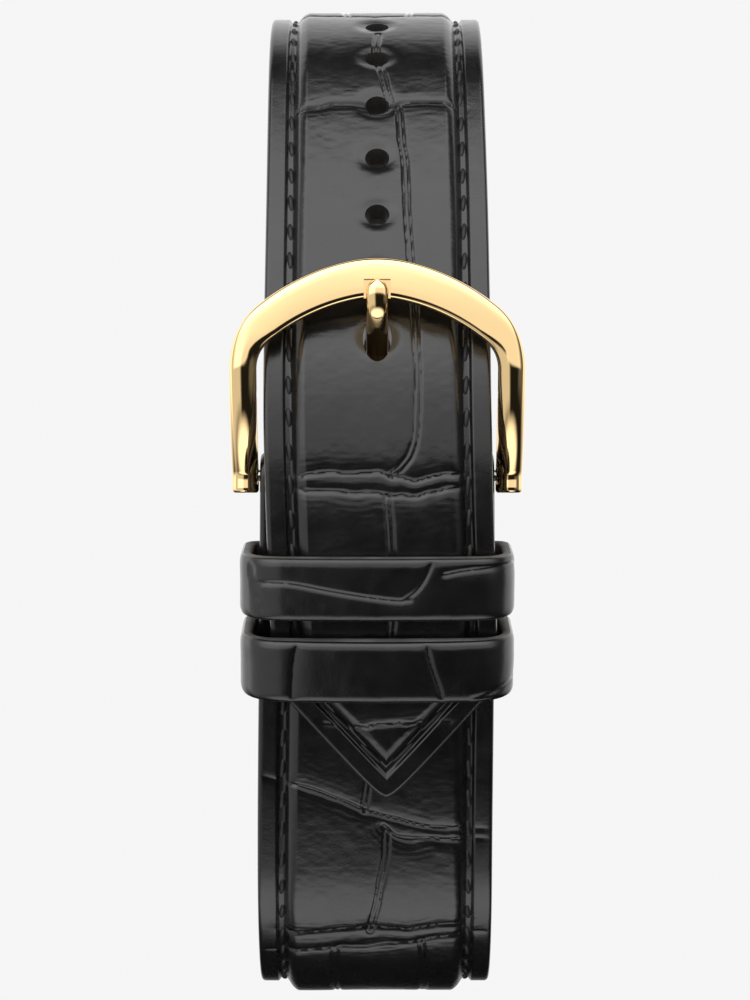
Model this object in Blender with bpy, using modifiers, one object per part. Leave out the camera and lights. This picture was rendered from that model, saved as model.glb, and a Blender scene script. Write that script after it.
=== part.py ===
"""Slim rectangular wristwatch on a padded leather strap, buckled into a closed loop.

Row frame: +Z up, +X to the side of the crown. The buckle faces -Y and the dial faces +Y, with twelve
o'clock pointing to -Z. The origin is in the middle of the wrist opening. Sizes are written in millimetres
and multiplied by MM where they reach Blender.
"""

import math

import bmesh
import bpy
from mathutils import Matrix, Vector

MM = 0.001

# Loop: the outer line of the two straps, in the YZ plane.
FRONT_Y = -26.0            # Y of the plane through the front of the loop; depths are counted back from it
BUCKLE_BAR = (5.0, 1.7)    # depth and height of the buckle's spring bar
LUG_BAR_DEPTH = 48.0
CASE_Z = -7.3
LUG_BAR_SPAN = 36.4        # from the upper spring bar of the case to the lower one
FRONT_TILT = 5.0           # slope of the straps where they pass the buckle's bar, in degrees
FRONT_RADIUS = 100.0        # the buckle strap's outer face, from its bar down past the keepers
FRONT_LENGTH = 28.6
BOTTOM_BEND = (18.0, 60.0)  # length and turn of the bend at the bottom of the loop
CREST = (9.8, 25.0)        # the hole strap rises over the buckle's bar
UPPER_FRONT = (21.4, 15.5)
TOP_BEND = (15.2, 52.5)
POINT_LENGTH = 8.0         # the pointed end of the hole strap
TIP_BELOW_BAR = 22.4

# Strap sections.
HOLE_STRAP_WIDTH = 15.4
BUCKLE_STRAP_WIDTH = 16.0
LUG_STRAP_WIDTH = 17.6
HOLE_STRAP_THICKNESS = 2.6
BUCKLE_STRAP_THICKNESS = 2.8
LUG_THICKNESS = 3.8
UPPER_LEATHER = 0.8
LINING = 0.7
LAYER_GAP = 0.12
STRAP_GAP = 0.3
TURN_RETURN = 2.6          # how far it runs back under the strap
BUCKLE_TURN_RADIUS = 1.55
LUG_TURN_RADIUS = 1.9
HOLE_RADIUS = 0.9
HOLE_PITCH = 4.8
HOLE_COUNT = 7
TONGUE_HOLE = (2.1, 3.5)   # across and along the strap
STITCH_INSET = 1.9
THREAD_RADIUS = 0.2
SHARES = (1.0, 0.8, 0.62, 0.35, 0.0)   # of the half width, from the edge to the middle
PADDED_SHARE = 0.62         # the padding's half width, as a share of the strap's
LEAST_PADDING = 0.25

# Keepers.
KEEPER_WIDTH = 4.2
KEEPER_WALL = 0.9
KEEPER_INNER = 17.0
KEEPER_CLEARANCE = 0.25
FIXED_KEEPER_START = 4.9   # along the strap from the buckle's bar
FREE_KEEPER_START = 10.3

# Buckle.
FRAME_HALF = 9.05          # from the middle to the centre line of an arm
FRAME_PEAK = 14.93
FRAME_RADII = (4.0, 14.0, 8.0)  # of the shoulder, the flank and the crown of the arch
FRAME_CROWN_TURN = 12.0    # degrees that each half of the crown turns
FRAME_ARM_WIDTH = 1.85
FRAME_ARCH_WIDTH = 2.7
FRAME_FOOT = 0.5
FRAME_FRONT_DEPTH = 0.95
FRAME_RISE = 8.2           # height over which an arm comes forward from the bar
FRAME_SECTION = ((1, 0.45), (0.72, 1), (-0.72, 1), (-1, 0.45), (-1, -0.7), (-0.8, -1), (0.8, -1), (1, -0.7))
TONGUE_WIDTH = 1.5
TONGUE_THICKNESS = 1.0

# Spring bars: radius and half length of the tube, radius and outer end of the tips.
LUG_BAR_SIZES = (0.75, 8.3, 0.4, 9.2)
BUCKLE_BAR_SIZES = (0.65, 7.7, 0.4, 9.1)
BAR_WALL = 0.2

# Watch head, in its own frame: x to three o'clock, y to twelve, z out through the dial, 0 at the case's back.
CASE_WIDTH = 18.8
CASE_LENGTH = 39.6
CASE_HEIGHT = 5.4
LUG_GAP = 17.75
BODY_LENGTH = 31.4
BACK_OPENING = (17.2, 28.2)
CAVITY = (15.8, 26.8)
WINDOW = (14.4, 25.4)
CRYSTAL_SEAT = (16.4, 27.4)
LUG_BAR_HEIGHT = 1.9
STEM_HEIGHT = 1.55
PLATE_Z = (2.3, 2.85)
DIAL_Z = (3.42, 3.78)
MARKER_FRAME = (5.7, 10.9)  # half width and half length of the rectangle the hour markers stand on
MARKER_SIZE = (0.45, 1.8, 0.3)

# Hands: length, half width at the hub, underside, top face and radius of the hub's hole.
# Their angles are in degrees clockwise from 12 o'clock.
HOUR_HAND = (4.2, 0.62, 3.95, 4.07, 0.66)
MINUTE_HAND = (6.8, 0.5, 4.22, 4.34, 0.40)
HOUR_ANGLE = 139.0
MINUTE_ANGLE = 228.0

# Movement, seen from the dial: places of the arbors, and the setting lever with its crank.
MINUTE_WHEEL_AT = (0.0, 2.4)
THIRD_AT = (0.0, -3.2)
INTERMEDIATE_AT = (-2.14, -4.435)
ROTOR_AT = (-4.24, -4.435)
LEVER_AT = (5.1, -2.6, 0.0)
LEVER_REACH = 2.295
LEVER_HALF_SWING = 0.5

parts = bpy.data.collections.new("wristwatch")
cutters = bpy.data.collections.new("cutters")


# ---------------------------------------------------------------- basic tools

def clear_scene():
    for ob in list(bpy.data.objects):
        bpy.data.objects.remove(ob, do_unlink=True)
    bpy.context.scene.collection.children.link(parts)
    bpy.context.scene.collection.children.link(cutters)


def material(name, color, roughness, metallic=0.0):
    mat = bpy.data.materials.get(name)
    if mat is None:
        mat = bpy.data.materials.new(name)
        mat.use_nodes = True
        shader = mat.node_tree.nodes["Principled BSDF"]
        shader.inputs["Base Color"].default_value = (*color, 1.0)
        shader.inputs["Roughness"].default_value = roughness
        shader.inputs["Metallic"].default_value = metallic
    return mat


def gold():
    return material("polished_gold", (0.83, 0.62, 0.27), 0.15, 1.0)


def steel():
    return material("steel", (0.62, 0.62, 0.64), 0.3, 1.0)


def brass():
    return material("brass", (0.72, 0.55, 0.28), 0.35, 1.0)


def black_leather():
    return material("black_leather", (0.012, 0.012, 0.013), 0.3)


def lining_leather():
    return material("lining_leather", (0.06, 0.045, 0.035), 0.6)


def black_plastic():
    return material("black_plastic", (0.03, 0.03, 0.03), 0.5)


def rubber():
    return material("rubber", (0.02, 0.02, 0.02), 0.7)


def add_object(name, bm, mat=None, parent=None, location=(0, 0, 0)):
    """Turns a bmesh, written in millimetres, into a part or, with no material, into a cutter."""
    bmesh.ops.scale(bm, vec=(MM, MM, MM), verts=bm.verts)
    bmesh.ops.recalc_face_normals(bm, faces=bm.faces)
    mesh = bpy.data.meshes.new(name)
    bm.to_mesh(mesh)
    bm.free()
    ob = bpy.data.objects.new(name, mesh)
    if mat is None:
        cutters.objects.link(ob)
        ob.hide_render = True
        ob.display_type = "WIRE"
    else:
        parts.objects.link(ob)
        mesh.materials.append(mat)
        mesh.shade_smooth()
        mesh.set_sharp_from_angle(angle=math.radians(30))
    ob.location = Vector(location) * MM
    ob.parent = parent
    return ob


def box_mesh(size, centre=(0, 0, 0)):
    bm = bmesh.new()
    bmesh.ops.create_cube(bm, size=1.0)
    bmesh.ops.scale(bm, vec=size, verts=bm.verts)
    bmesh.ops.translate(bm, vec=centre, verts=bm.verts)
    return bm


def plate_mesh(width, length, z0, z1, radius=0.0, segments=3):
    """A flat plate with its upright edges rounded."""
    bm = box_mesh((width, length, z1 - z0), (0, 0, (z0 + z1) / 2))
    if radius > 0:
        upright = [e for e in bm.edges if abs(e.verts[0].co.z - e.verts[1].co.z) > 1e-6]
        bmesh.ops.bevel(bm, geom=upright, offset=radius, segments=segments, affect="EDGES", profile=0.5)
    return bm


def rod_mesh(radius, start, end, sides=16, axis="Z", centre=(0, 0)):
    """A cylinder along an axis from start to end; centre holds its two other coordinates."""
    bm = bmesh.new()
    bmesh.ops.create_cone(bm, cap_ends=True, segments=sides, radius1=radius, radius2=radius,
                          depth=end - start)
    bmesh.ops.translate(bm, vec=(0, 0, (start + end) / 2), verts=bm.verts)
    if axis == "X":
        bmesh.ops.rotate(bm, matrix=Matrix.Rotation(math.radians(90), 3, "Y"), verts=bm.verts)
        bmesh.ops.translate(bm, vec=(0, *centre), verts=bm.verts)
    else:
        bmesh.ops.translate(bm, vec=(*centre, 0), verts=bm.verts)
    return bm


def turned_mesh(profile, sides=20, axis="Z"):
    """A solid turned round an axis from (radius, height) points that run from top to bottom."""
    bm = bmesh.new()
    rings = []
    for radius, height in profile:
        ring = [bm.verts.new((radius * math.cos(a), radius * math.sin(a), height))
                for a in (2 * math.pi * i / sides for i in range(sides))]
        rings.append(ring)
    skin(bm, rings)
    if axis == "X":
        bmesh.ops.rotate(bm, matrix=Matrix.Rotation(math.radians(90), 3, "Y"), verts=bm.verts)
    return bm


def skin(bm, rings, closed=False):
    """Joins rings of vertices into a skin, with caps on the two ends or closed on itself."""
    count = len(rings[0])
    pairs = list(zip(rings, rings[1:]))
    if closed:
        pairs.append((rings[-1], rings[0]))
    for low, high in pairs:
        for i in range(count):
            j = (i + 1) % count
            bm.faces.new((low[i], low[j], high[j], high[i]))
    if not closed:
        bm.faces.new(rings[0])
        bm.faces.new(list(reversed(rings[-1])))


def loft_mesh(rings, closed=False):
    bm = bmesh.new()
    skin(bm, [[bm.verts.new(p) for p in ring] for ring in rings], closed)
    return bm


def boolean(ob, cutter, operation="DIFFERENCE"):
    mod = ob.modifiers.new(cutter.name, "BOOLEAN")
    mod.operation = operation
    mod.solver = "EXACT"
    mod.object = cutter


def cut(ob, name, bm, location=(0, 0, 0)):
    boolean(ob, add_object(name, bm, None, ob.parent, location))


def join(ob, name, bm, location=(0, 0, 0)):
    boolean(ob, add_object(name, bm, None, ob.parent, location), "UNION")


# ---------------------------------------------------------------- the loop's lines

class Line:
    """A chain of circular arcs in a plane. Heading 0 points along the second axis and grows towards the
    first. side is 1 where the inside of the loop is to the right of the direction of travel, else -1."""

    def __init__(self, start, heading, arcs, side=1):
        self.side = side
        self.knots = []
        self.length = 0.0
        point = Vector(start)
        for length, turn in arcs:
            self.knots.append((self.length, point, heading, length, turn))
            point, heading = self.step(point, heading, length, turn, length)
            self.length += length
        self.end = point
        self.end_heading = heading

    @staticmethod
    def step(point, heading, length, turn, distance):
        turned = turn * distance / length
        middle = math.radians(heading + turned / 2)
        half = math.radians(turned / 2)
        chord = distance * (math.sin(half) / half if abs(half) > 1e-9 else 1.0)
        return point + chord * Vector((math.sin(middle), math.cos(middle))), heading + turned

    def at(self, distance):
        knot = self.knots[0]
        for candidate in self.knots:
            if candidate[0] <= distance + 1e-9:
                knot = candidate
        return self.step(knot[1], knot[2], knot[3], knot[4], distance - knot[0])

    def inward(self, heading):
        angle = math.radians(heading)
        return self.side * Vector((math.cos(angle), -math.sin(angle)))

    def stations(self, step=3.0, turn_step=22.5):
        marks = []
        for start, _, _, length, turn in self.knots:
            count = math.ceil(max(length / step, abs(turn) / turn_step))
            marks += [start + length * i / count for i in range(count)]
        return marks + [self.length]


def closing_arc(point, heading, target, offset, side):
    """Length and turn of the arc that leaves point along heading and whose inner parallel meets target."""
    angle = math.radians(heading)
    forward = Vector((math.sin(angle), math.cos(angle)))
    inward = side * Vector((math.cos(angle), -math.sin(angle)))
    chord = Vector(target) - (Vector(point) + offset * inward)
    half = math.atan2(chord.dot(inward), chord.dot(forward))
    radius = chord.length / (2 * math.sin(half)) + offset
    return 2 * half * radius, side * math.degrees(2 * half)


def front_frame():
    """Centre of the front arc and the straps' outward direction at the buckle's bar."""
    angle = math.radians(FRONT_TILT)
    inward = Vector((math.cos(angle), math.sin(angle)))
    start = Vector(BUCKLE_BAR) - BUCKLE_TURN_RADIUS * inward
    return start, inward, start + FRONT_RADIUS * inward


def lug_bar(upper):
    return LUG_BAR_DEPTH, CASE_Z + (0.5 if upper else -0.5) * LUG_BAR_SPAN


def turn_arcs(radius, side):
    return [(math.pi * radius, side * 180.0), (TURN_RETURN, 0.0)]


def hole_strap_line(with_turn):
    """Outer line of the hole strap, from its point up over the top of the loop to the upper lug bar."""
    start, inward, centre = front_frame()
    radius = FRONT_RADIUS + STRAP_GAP + HOLE_STRAP_THICKNESS
    down = math.degrees(TIP_BELOW_BAR / radius)
    angle = math.radians(FRONT_TILT + down)
    tip = centre - radius * Vector((math.cos(angle), math.sin(angle)))
    point_turn = down * POINT_LENGTH / TIP_BELOW_BAR
    arcs = [(POINT_LENGTH, point_turn), (TIP_BELOW_BAR - POINT_LENGTH, down - point_turn),
            CREST, UPPER_FRONT, TOP_BEND]
    line = Line(tip, -(FRONT_TILT + down), arcs)
    arcs.append(closing_arc(line.end, line.end_heading, lug_bar(True), LUG_TURN_RADIUS, 1))
    if with_turn:
        arcs += turn_arcs(LUG_TURN_RADIUS, 1)
    return Line(tip, -(FRONT_TILT + down), arcs)


def buckle_strap_line(with_turns):
    """Outer line of the buckle strap, from the buckle's bar down under the loop to the lower lug bar."""
    start, inward, _ = front_frame()
    heading = 180.0 - FRONT_TILT
    arcs = [(FRONT_LENGTH, -math.degrees(FRONT_LENGTH / FRONT_RADIUS)), (BOTTOM_BEND[0], -BOTTOM_BEND[1])]
    line = Line(start, heading, arcs, -1)
    arcs.append(closing_arc(line.end, line.end_heading, lug_bar(False), LUG_TURN_RADIUS, -1))
    if not with_turns:
        return Line(start, heading, arcs, -1)
    angle = math.radians(heading)
    along = Vector((math.sin(angle), math.cos(angle)))
    first = start + 2 * BUCKLE_TURN_RADIUS * inward + TURN_RETURN * along
    opening = [(TURN_RETURN, 0.0), (math.pi * BUCKLE_TURN_RADIUS, -180.0)]
    return Line(first, heading + 180.0, opening + arcs + turn_arcs(LUG_TURN_RADIUS, -1), -1)


def in_loop(line, distance, across, inwards):
    """Row-frame point at a distance along the line, a height below its outer face and across the strap."""
    point, heading = line.at(distance)
    point = point + inwards * line.inward(heading)
    return Vector((across, FRONT_Y + point.x, point.y))


def smooth(value, low, high):
    t = min(1.0, max(0.0, (value - low) / (high - low)))
    return t * t * (3 - 2 * t)


# ---------------------------------------------------------------- strap sections

class HoleStrap:
    name = "hole_strap"

    def __init__(self):
        self.line = hole_strap_line(True)
        self.length = hole_strap_line(False).length
        self.lead = 0.0

    def thickness(self, s):
        lug = smooth(s, self.length - 42.0, self.length - 6.0)
        return HOLE_STRAP_THICKNESS + (LUG_THICKNESS - HOLE_STRAP_THICKNESS) * lug

    def half_width(self, s):
        half = HOLE_STRAP_WIDTH / 2
        half += (LUG_STRAP_WIDTH - HOLE_STRAP_WIDTH) / 2 * smooth(s, self.length - 45.0, self.length)
        if s < POINT_LENGTH:
            nose = 0.9
            half = nose + (half - nose) * (s / POINT_LENGTH) ** 0.9
        return half

    def flat(self, s):
        """1 where the leather is turned round a spring bar, 0 on the padded strap."""
        return smooth(s, self.length - 4.5, self.length - 0.5)

    def drop(self, s):
        """How far the strap's edges lie below its padded middle."""
        full = self.thickness(s) - UPPER_LEATHER - LAYER_GAP - LINING - 0.15
        full = min(full, 1.3)
        return full * (0.35 + 0.65 * smooth(s, 0.0, POINT_LENGTH)) * (1 - self.flat(s))


class BuckleStrap:
    name = "buckle_strap"

    def __init__(self):
        self.line = buckle_strap_line(True)
        self.length = buckle_strap_line(False).length
        self.lead = TURN_RETURN + math.pi * BUCKLE_TURN_RADIUS

    def thickness(self, s):
        s -= self.lead
        lug = smooth(s, FRONT_LENGTH, self.length - 6.0)
        return BUCKLE_STRAP_THICKNESS + (LUG_THICKNESS - BUCKLE_STRAP_THICKNESS) * lug

    def half_width(self, s):
        part = min(1.0, max(0.0, (s - self.lead) / self.length))
        return (BUCKLE_STRAP_WIDTH + (LUG_STRAP_WIDTH - BUCKLE_STRAP_WIDTH) * part) / 2

    def flat(self, s):
        s -= self.lead
        return max(smooth(s, self.length - 4.5, self.length - 0.5), 1 - smooth(s, 0.5, 4.0))

    def drop(self, s):
        full = self.thickness(s) - UPPER_LEATHER - LAYER_GAP - LINING - 0.15
        full = min(full, 1.3) * smooth(s - self.lead, 6.0, 28.0)
        return full * (1 - self.flat(s))


def crown(share, drop):
    """Height below the padded middle at a share of the half width: flat borders and a round middle."""
    return drop * smooth(share, 0.25, 0.8)


def mirrored(half_profile):
    """A ring from the points of its right half, listed from the top middle round to the bottom middle."""
    return half_profile + [(-x, h) for x, h in half_profile[-2:0:-1]]


def leather_floor(strap, s, share):
    """Height of the upper leather's inner face: thick at the borders, thin over the padding."""
    border_floor = strap.thickness(s) - LINING - LAYER_GAP
    floor = border_floor if share > PADDED_SHARE else crown(share, strap.drop(s)) + UPPER_LEATHER
    flat = strap.flat(s)
    return flat * UPPER_LEATHER + (1 - flat) * floor


def upper_ring(strap, s):
    half = strap.half_width(s)
    outer = [(share * half, crown(share, strap.drop(s))) for share in SHARES]
    inner = [(share * half, leather_floor(strap, s, share)) for share in SHARES]
    return [in_loop(strap.line, s, x, h) for x, h in mirrored(outer[::-1] + inner)]


def padding_ring(strap, s):
    half = strap.half_width(s)
    floor = strap.thickness(s) - LINING - LAYER_GAP
    profile = [(share * half, min(leather_floor(strap, s, share) + LAYER_GAP, floor - LEAST_PADDING))
               for share in reversed(SHARES) if share <= PADDED_SHARE]
    profile += [(PADDED_SHARE * half, floor), (0.0, floor)]
    return [in_loop(strap.line, s, x, h) for x, h in mirrored(profile)]


def lining_ring(strap, s):
    half = strap.half_width(s)
    floor = strap.thickness(s)
    profile = [(0.0, floor - LINING), (half, floor - LINING), (half, floor), (0.0, floor)]
    return [in_loop(strap.line, s, x, h) for x, h in mirrored(profile)]


def stations_between(line, start, end):
    return [start] + [s for s in line.stations() if start + 0.3 < s < end - 0.3] + [end]


def strap_layers(strap, first, last):
    """The leather, padding and lining of one strap; the two soft layers run from first to last."""
    marks = strap.line.stations()
    leather = add_object(strap.name + "_upper", loft_mesh([upper_ring(strap, s) for s in marks]),
                         black_leather())
    inner = stations_between(strap.line, first + 2.5, last - 2.5)
    padding = add_object(strap.name + "_padding", loft_mesh([padding_ring(strap, s) for s in inner]),
                         material("padding_felt", (0.35, 0.33, 0.3), 0.9))
    under = stations_between(strap.line, first, last)
    lining = add_object(strap.name + "_lining", loft_mesh([lining_ring(strap, s) for s in under]),
                        lining_leather())
    return leather, padding, lining


def hole_places(strap):
    """Distance of each buckle hole from the strap's point; the first holds the tongue."""
    first = TIP_BELOW_BAR + CREST[0]
    return [first + HOLE_PITCH * i for i in range(HOLE_COUNT)]


def hole_cutter(strap, s, across, along):
    bm = rod_mesh(0.5, -2.0, 6.0, 14)
    bmesh.ops.scale(bm, vec=(across, along, 1.0), verts=bm.verts)
    point, heading = strap.line.at(s)
    inward = strap.line.inward(heading)
    turn = Matrix((Vector((1, 0, 0)), Vector((0, math.sin(math.radians(heading)),
                                              math.cos(math.radians(heading)))),
                   Vector((0, inward.x, inward.y)))).transposed()
    bmesh.ops.rotate(bm, matrix=turn, verts=bm.verts)
    bmesh.ops.translate(bm, vec=(0, FRONT_Y + point.x, point.y), verts=bm.verts)
    return bm


def thread_path(strap, first, last, step=4.0):
    """Points of a row of stitches, from the near end round the strap's point where it has one."""
    count = math.ceil((last - first) / step)
    marks = [first + (last - first) * i / count for i in range(count + 1)]
    height = -THREAD_RADIUS - 0.12

    def place(s, side):
        share = 1 - STITCH_INSET / strap.half_width(s)
        return in_loop(strap.line, s, side * share * strap.half_width(s),
                       crown(share, strap.drop(s)) + height)
    return marks, place


def thread(name, points):
    """A waxed thread lying along its row, as a square cord."""
    rings = []
    for i, point in enumerate(points):
        ahead = points[min(i + 1, len(points) - 1)] - points[max(i - 1, 0)]
        forward = ahead.normalized()
        side = Vector((1, 0, 0)) - forward * forward.x
        side = side.normalized() if side.length > 0.3 else forward.cross(Vector((0, 1, 0))).normalized()
        up = forward.cross(side)
        ring = [point + THREAD_RADIUS * (a * side + b * up) for a, b in ((1, 0), (0, 1), (-1, 0), (0, -1))]
        rings.append(ring)
    add_object(name, loft_mesh(rings), material("black_thread", (0.015, 0.015, 0.015), 0.6))


def straps():
    hole = HoleStrap()
    last = hole.length - TURN_RETURN - 0.7
    layers = strap_layers(hole, 0.6, last)
    for i, s in enumerate(hole_places(hole)):
        across, along = TONGUE_HOLE if i == 0 else (2 * HOLE_RADIUS, 2 * HOLE_RADIUS)
        cutter = add_object(f"hole_cutter_{i + 1}", hole_cutter(hole, s, across, along))
        for layer in layers:
            boolean(layer, cutter)
    for side, word in ((-1, "left"), (1, "right")):
        marks, place = thread_path(hole, POINT_LENGTH, last - 3.0)
        thread(f"hole_strap_thread_{word}", [place(s, side) for s in marks])
    buckle = BuckleStrap()
    first = buckle.lead + TURN_RETURN + 1.0
    last = buckle.lead + buckle.length - TURN_RETURN - 0.7
    leather, _, _ = strap_layers(buckle, first, last)
    bar = (0, FRONT_Y + BUCKLE_BAR[0], BUCKLE_BAR[1])
    slot = box_mesh((TONGUE_WIDTH + 0.7, 6.0, 6.0), (bar[0], bar[1], bar[2] + 0.6))
    boolean(leather, add_object("tongue_slot_cutter", slot))
    for side, word in ((-1, "left"), (1, "right")):
        marks, place = thread_path(buckle, buckle.lead + 24.0, last - 3.0)
        thread(f"buckle_strap_thread_{word}", [place(s, side) for s in marks])
    return hole, buckle


# ---------------------------------------------------------------- keepers

def keeper(name, buckle, start):
    """A leather band round both straps. Its origin is on the front arc's axis, which it slides about."""
    centre = front_frame()[2]
    axis = Vector((0, FRONT_Y + centre.x, centre.y))
    line = buckle.line
    top = -STRAP_GAP - HOLE_STRAP_THICKNESS - KEEPER_CLEARANCE
    floor = BUCKLE_STRAP_THICKNESS + KEEPER_CLEARANCE
    rings = []
    for s in (start, start + KEEPER_WIDTH / 2, start + KEEPER_WIDTH):
        rings.append([in_loop(line, buckle.lead + s, x, h) - axis
                      for x, h in rounded_outline(KEEPER_INNER / 2 + KEEPER_WALL, top - KEEPER_WALL,
                                                  floor + KEEPER_WALL, 1.3)])
    band = add_object(name, loft_mesh(rings), black_leather(), None, axis)
    rings = []
    for s in (start - 1.0, start + KEEPER_WIDTH / 2, start + KEEPER_WIDTH + 1.0):
        rings.append([in_loop(line, buckle.lead + s, x, h) - axis
                      for x, h in rounded_outline(KEEPER_INNER / 2, top, floor, 0.5)])
    boolean(band, add_object(name + "_cutter", loft_mesh(rings), None, None, axis))
    return band


def rounded_outline(half, low, high, radius, steps=4):
    """A rectangle from -half to half and from low to high, with round corners."""
    points = []
    for corner, (x, h) in enumerate(((half, high), (-half, high), (-half, low), (half, low))):
        x -= math.copysign(radius, x)
        h += radius if h == low else -radius
        for i in range(steps + 1):
            angle = math.radians(90 * (corner + i / steps))
            points.append((x + radius * math.cos(angle), h + radius * math.sin(angle)))
    return points


# ---------------------------------------------------------------- buckle

def frame_depth(height):
    """Depth of the frame's middle: from the bar the arms sweep forward to lie in front of the strap."""
    t = min(1.0, max(0.0, 1 - (height - BUCKLE_BAR[1]) / FRAME_RISE))
    return FRAME_FRONT_DEPTH + (BUCKLE_BAR[0] - FRAME_FRONT_DEPTH) * t * t


def buckle_pivot():
    """Everything that swings on the buckle's bar hangs from this point."""
    pivot = bpy.data.objects.new("buckle_pivot", None)
    pivot.location = Vector((0, FRONT_Y + BUCKLE_BAR[0], BUCKLE_BAR[1])) * MM
    parts.objects.link(pivot)
    return pivot


def from_bar(across, depth, height):
    return Vector((across, depth - BUCKLE_BAR[0], height - BUCKLE_BAR[1]))


def frame_line():
    """The frame's middle: straight arms, round shoulders, flatter flanks and a slightly pointed crown."""
    shoulder, flank, crown = FRAME_RADII
    reach = math.sin(math.radians(FRAME_CROWN_TURN))
    turn = math.acos((FRAME_HALF - shoulder + (flank - crown) * reach) / (flank - shoulder))
    rise = shoulder * math.sin(turn) + flank * (math.cos(math.radians(FRAME_CROWN_TURN)) - math.sin(turn))
    arm = FRAME_PEAK - FRAME_FOOT - rise - crown * (1 - math.cos(math.radians(FRAME_CROWN_TURN)))
    side = [(shoulder, math.degrees(turn)), (flank, 90 - FRAME_CROWN_TURN - math.degrees(turn))]
    bends = [(radius * math.radians(degrees), degrees)
             for radius, degrees in side + [(crown, 2 * FRAME_CROWN_TURN)] + side[::-1]]
    return Line((-FRAME_HALF, FRAME_FOOT), 0.0, [(arm, 0)] + bends + [(arm, 0)])


def buckle_frame(pivot):
    line = frame_line()
    rings = []
    for s in line.stations(1.8, 12.0):
        point, heading = line.at(s)
        out = -line.inward(heading)
        width = FRAME_ARM_WIDTH + (FRAME_ARCH_WIDTH - FRAME_ARM_WIDTH) * math.sin(math.radians(heading)) ** 2
        slope = min(1.0, max(0.0, 1 - (point.y - BUCKLE_BAR[1]) / FRAME_RISE))
        thick = 1.6 + 0.8 * slope
        ring = []
        for a, b in FRAME_SECTION:
            place = point + out * (a * width / 2)
            ring.append(from_bar(place.x, frame_depth(place.y) - b * thick / 2, place.y))
        rings.append(ring)
    frame = add_object("buckle_frame", loft_mesh(rings), gold(), pivot)
    notch = box_mesh((TONGUE_WIDTH + 0.3, 1.3, 2.0), from_bar(0, FRAME_FRONT_DEPTH - 0.95, FRAME_PEAK - 0.98))
    cut(frame, "frame_notch_cutter", notch)
    cut(frame, "frame_bar_cutter", rod_mesh(BUCKLE_BAR_SIZES[2] + 0.08, -9.3, 9.3, 12, "X"))


def tongue_spine(hole):
    """Depth and height along the tongue: flat under the strap, up through its hole, onto the arch."""
    point, heading = hole.line.at(hole_places(hole)[0])
    inward = hole.line.inward(heading)
    angle = math.radians(heading)
    along = Vector((math.sin(angle), math.cos(angle)))
    under = point + (HOLE_STRAP_THICKNESS + 0.85) * inward - 0.8 * along
    over = point - 0.75 * inward + 0.75 * along
    rest = FRAME_FRONT_DEPTH - 0.4 - TONGUE_THICKNESS / 2 - 0.06
    return [Vector((BUCKLE_BAR[0] + 0.2, BUCKLE_BAR[1] + 0.95)), Vector((under.x + 0.25, under.y - 3.5)),
            Vector((under.x + 0.12, under.y - 1.2)), under, over, Vector((rest + 0.12, over.y + 0.95)),
            Vector((rest, FRAME_PEAK - 1.2)), Vector((rest, FRAME_PEAK - 0.18))]


def buckle_tongue(pivot, hole):
    spine = tongue_spine(hole)
    rings = []
    for i, point in enumerate(spine):
        ahead = (spine[min(i + 1, len(spine) - 1)] - spine[max(i - 1, 0)]).normalized()
        up = Vector((-ahead.y, ahead.x))
        last = i == len(spine) - 1
        half = TONGUE_WIDTH / 2 * (0.6 if last else 1.0)
        thick = TONGUE_THICKNESS / 2 * (0.8 if last else 1.0)
        ring = []
        for a, b in ((1, 0.4), (0.6, 1), (-0.6, 1), (-1, 0.4), (-1, -1), (1, -1)):
            place = point + up * (b * thick)
            ring.append(from_bar(a * half, place.x, place.y))
        rings.append(ring)
    tongue = add_object("buckle_tongue", loft_mesh(rings), gold(), pivot)
    eye = rod_mesh(1.32, -TONGUE_WIDTH / 2, TONGUE_WIDTH / 2, 20, "X")
    join(tongue, "tongue_eye", eye)
    cut(tongue, "tongue_eye_cutter", rod_mesh(BUCKLE_BAR_SIZES[0] + 0.08, -2.0, 2.0, 16, "X"))


# ---------------------------------------------------------------- spring bars

def spring_bar(name, parent, sizes, location=(0, 0, 0)):
    """A tube with a shouldered tip sprung out of each end."""
    radius, half, tip_radius, tip_end = sizes
    tube = add_object(name + "_tube", rod_mesh(radius, -half, half, 16, "X"), steel(), parent, location)
    cut(tube, name + "_bore", rod_mesh(radius - BAR_WALL, -half - 1, half + 1, 12, "X"), location)
    shoulder = radius - BAR_WALL - 0.05
    inner = half - 2.4
    for side, word in ((-1, "left"), (1, "right")):
        profile = [(tip_radius, tip_end), (tip_radius, half - 0.9), (shoulder, half - 0.9), (shoulder, inner)]
        bm = turned_mesh(profile, 12, "X")
        if side < 0:
            bmesh.ops.rotate(bm, matrix=Matrix.Rotation(math.pi, 3, "Z"), verts=bm.verts)
        add_object(f"{name}_tip_{word}", bm, steel(), parent, location)
    coil_spring(name + "_spring", parent, shoulder - 0.13, inner - 0.15, location)


def coil_spring(name, parent, radius, half, location, turns=6, per_turn=6):
    rings = []
    count = turns * per_turn
    for i in range(count + 1):
        angle = 2 * math.pi * i / per_turn
        x = half * (2 * i / count - 1) * 0.97
        centre = Vector((x, radius * math.cos(angle), radius * math.sin(angle)))
        out = Vector((0, math.cos(angle), math.sin(angle)))
        ring = [centre + 0.09 * (a * Vector((1, 0, 0)) + b * out)
                for a, b in ((1, 0), (0, 1), (-1, 0), (0, -1))]
        rings.append(ring)
    add_object(name, loft_mesh(rings), steel(), parent, location)


# ---------------------------------------------------------------- watch head

def watch_head():
    """The frame of the watch itself: twelve o'clock points down and the dial faces back."""
    head = bpy.data.objects.new("watch_head", None)
    head.location = Vector((0, FRONT_Y + LUG_BAR_DEPTH - LUG_BAR_HEIGHT, CASE_Z)) * MM
    head.rotation_euler = (math.radians(-90), 0, 0)
    parts.objects.link(head)
    return head


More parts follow.
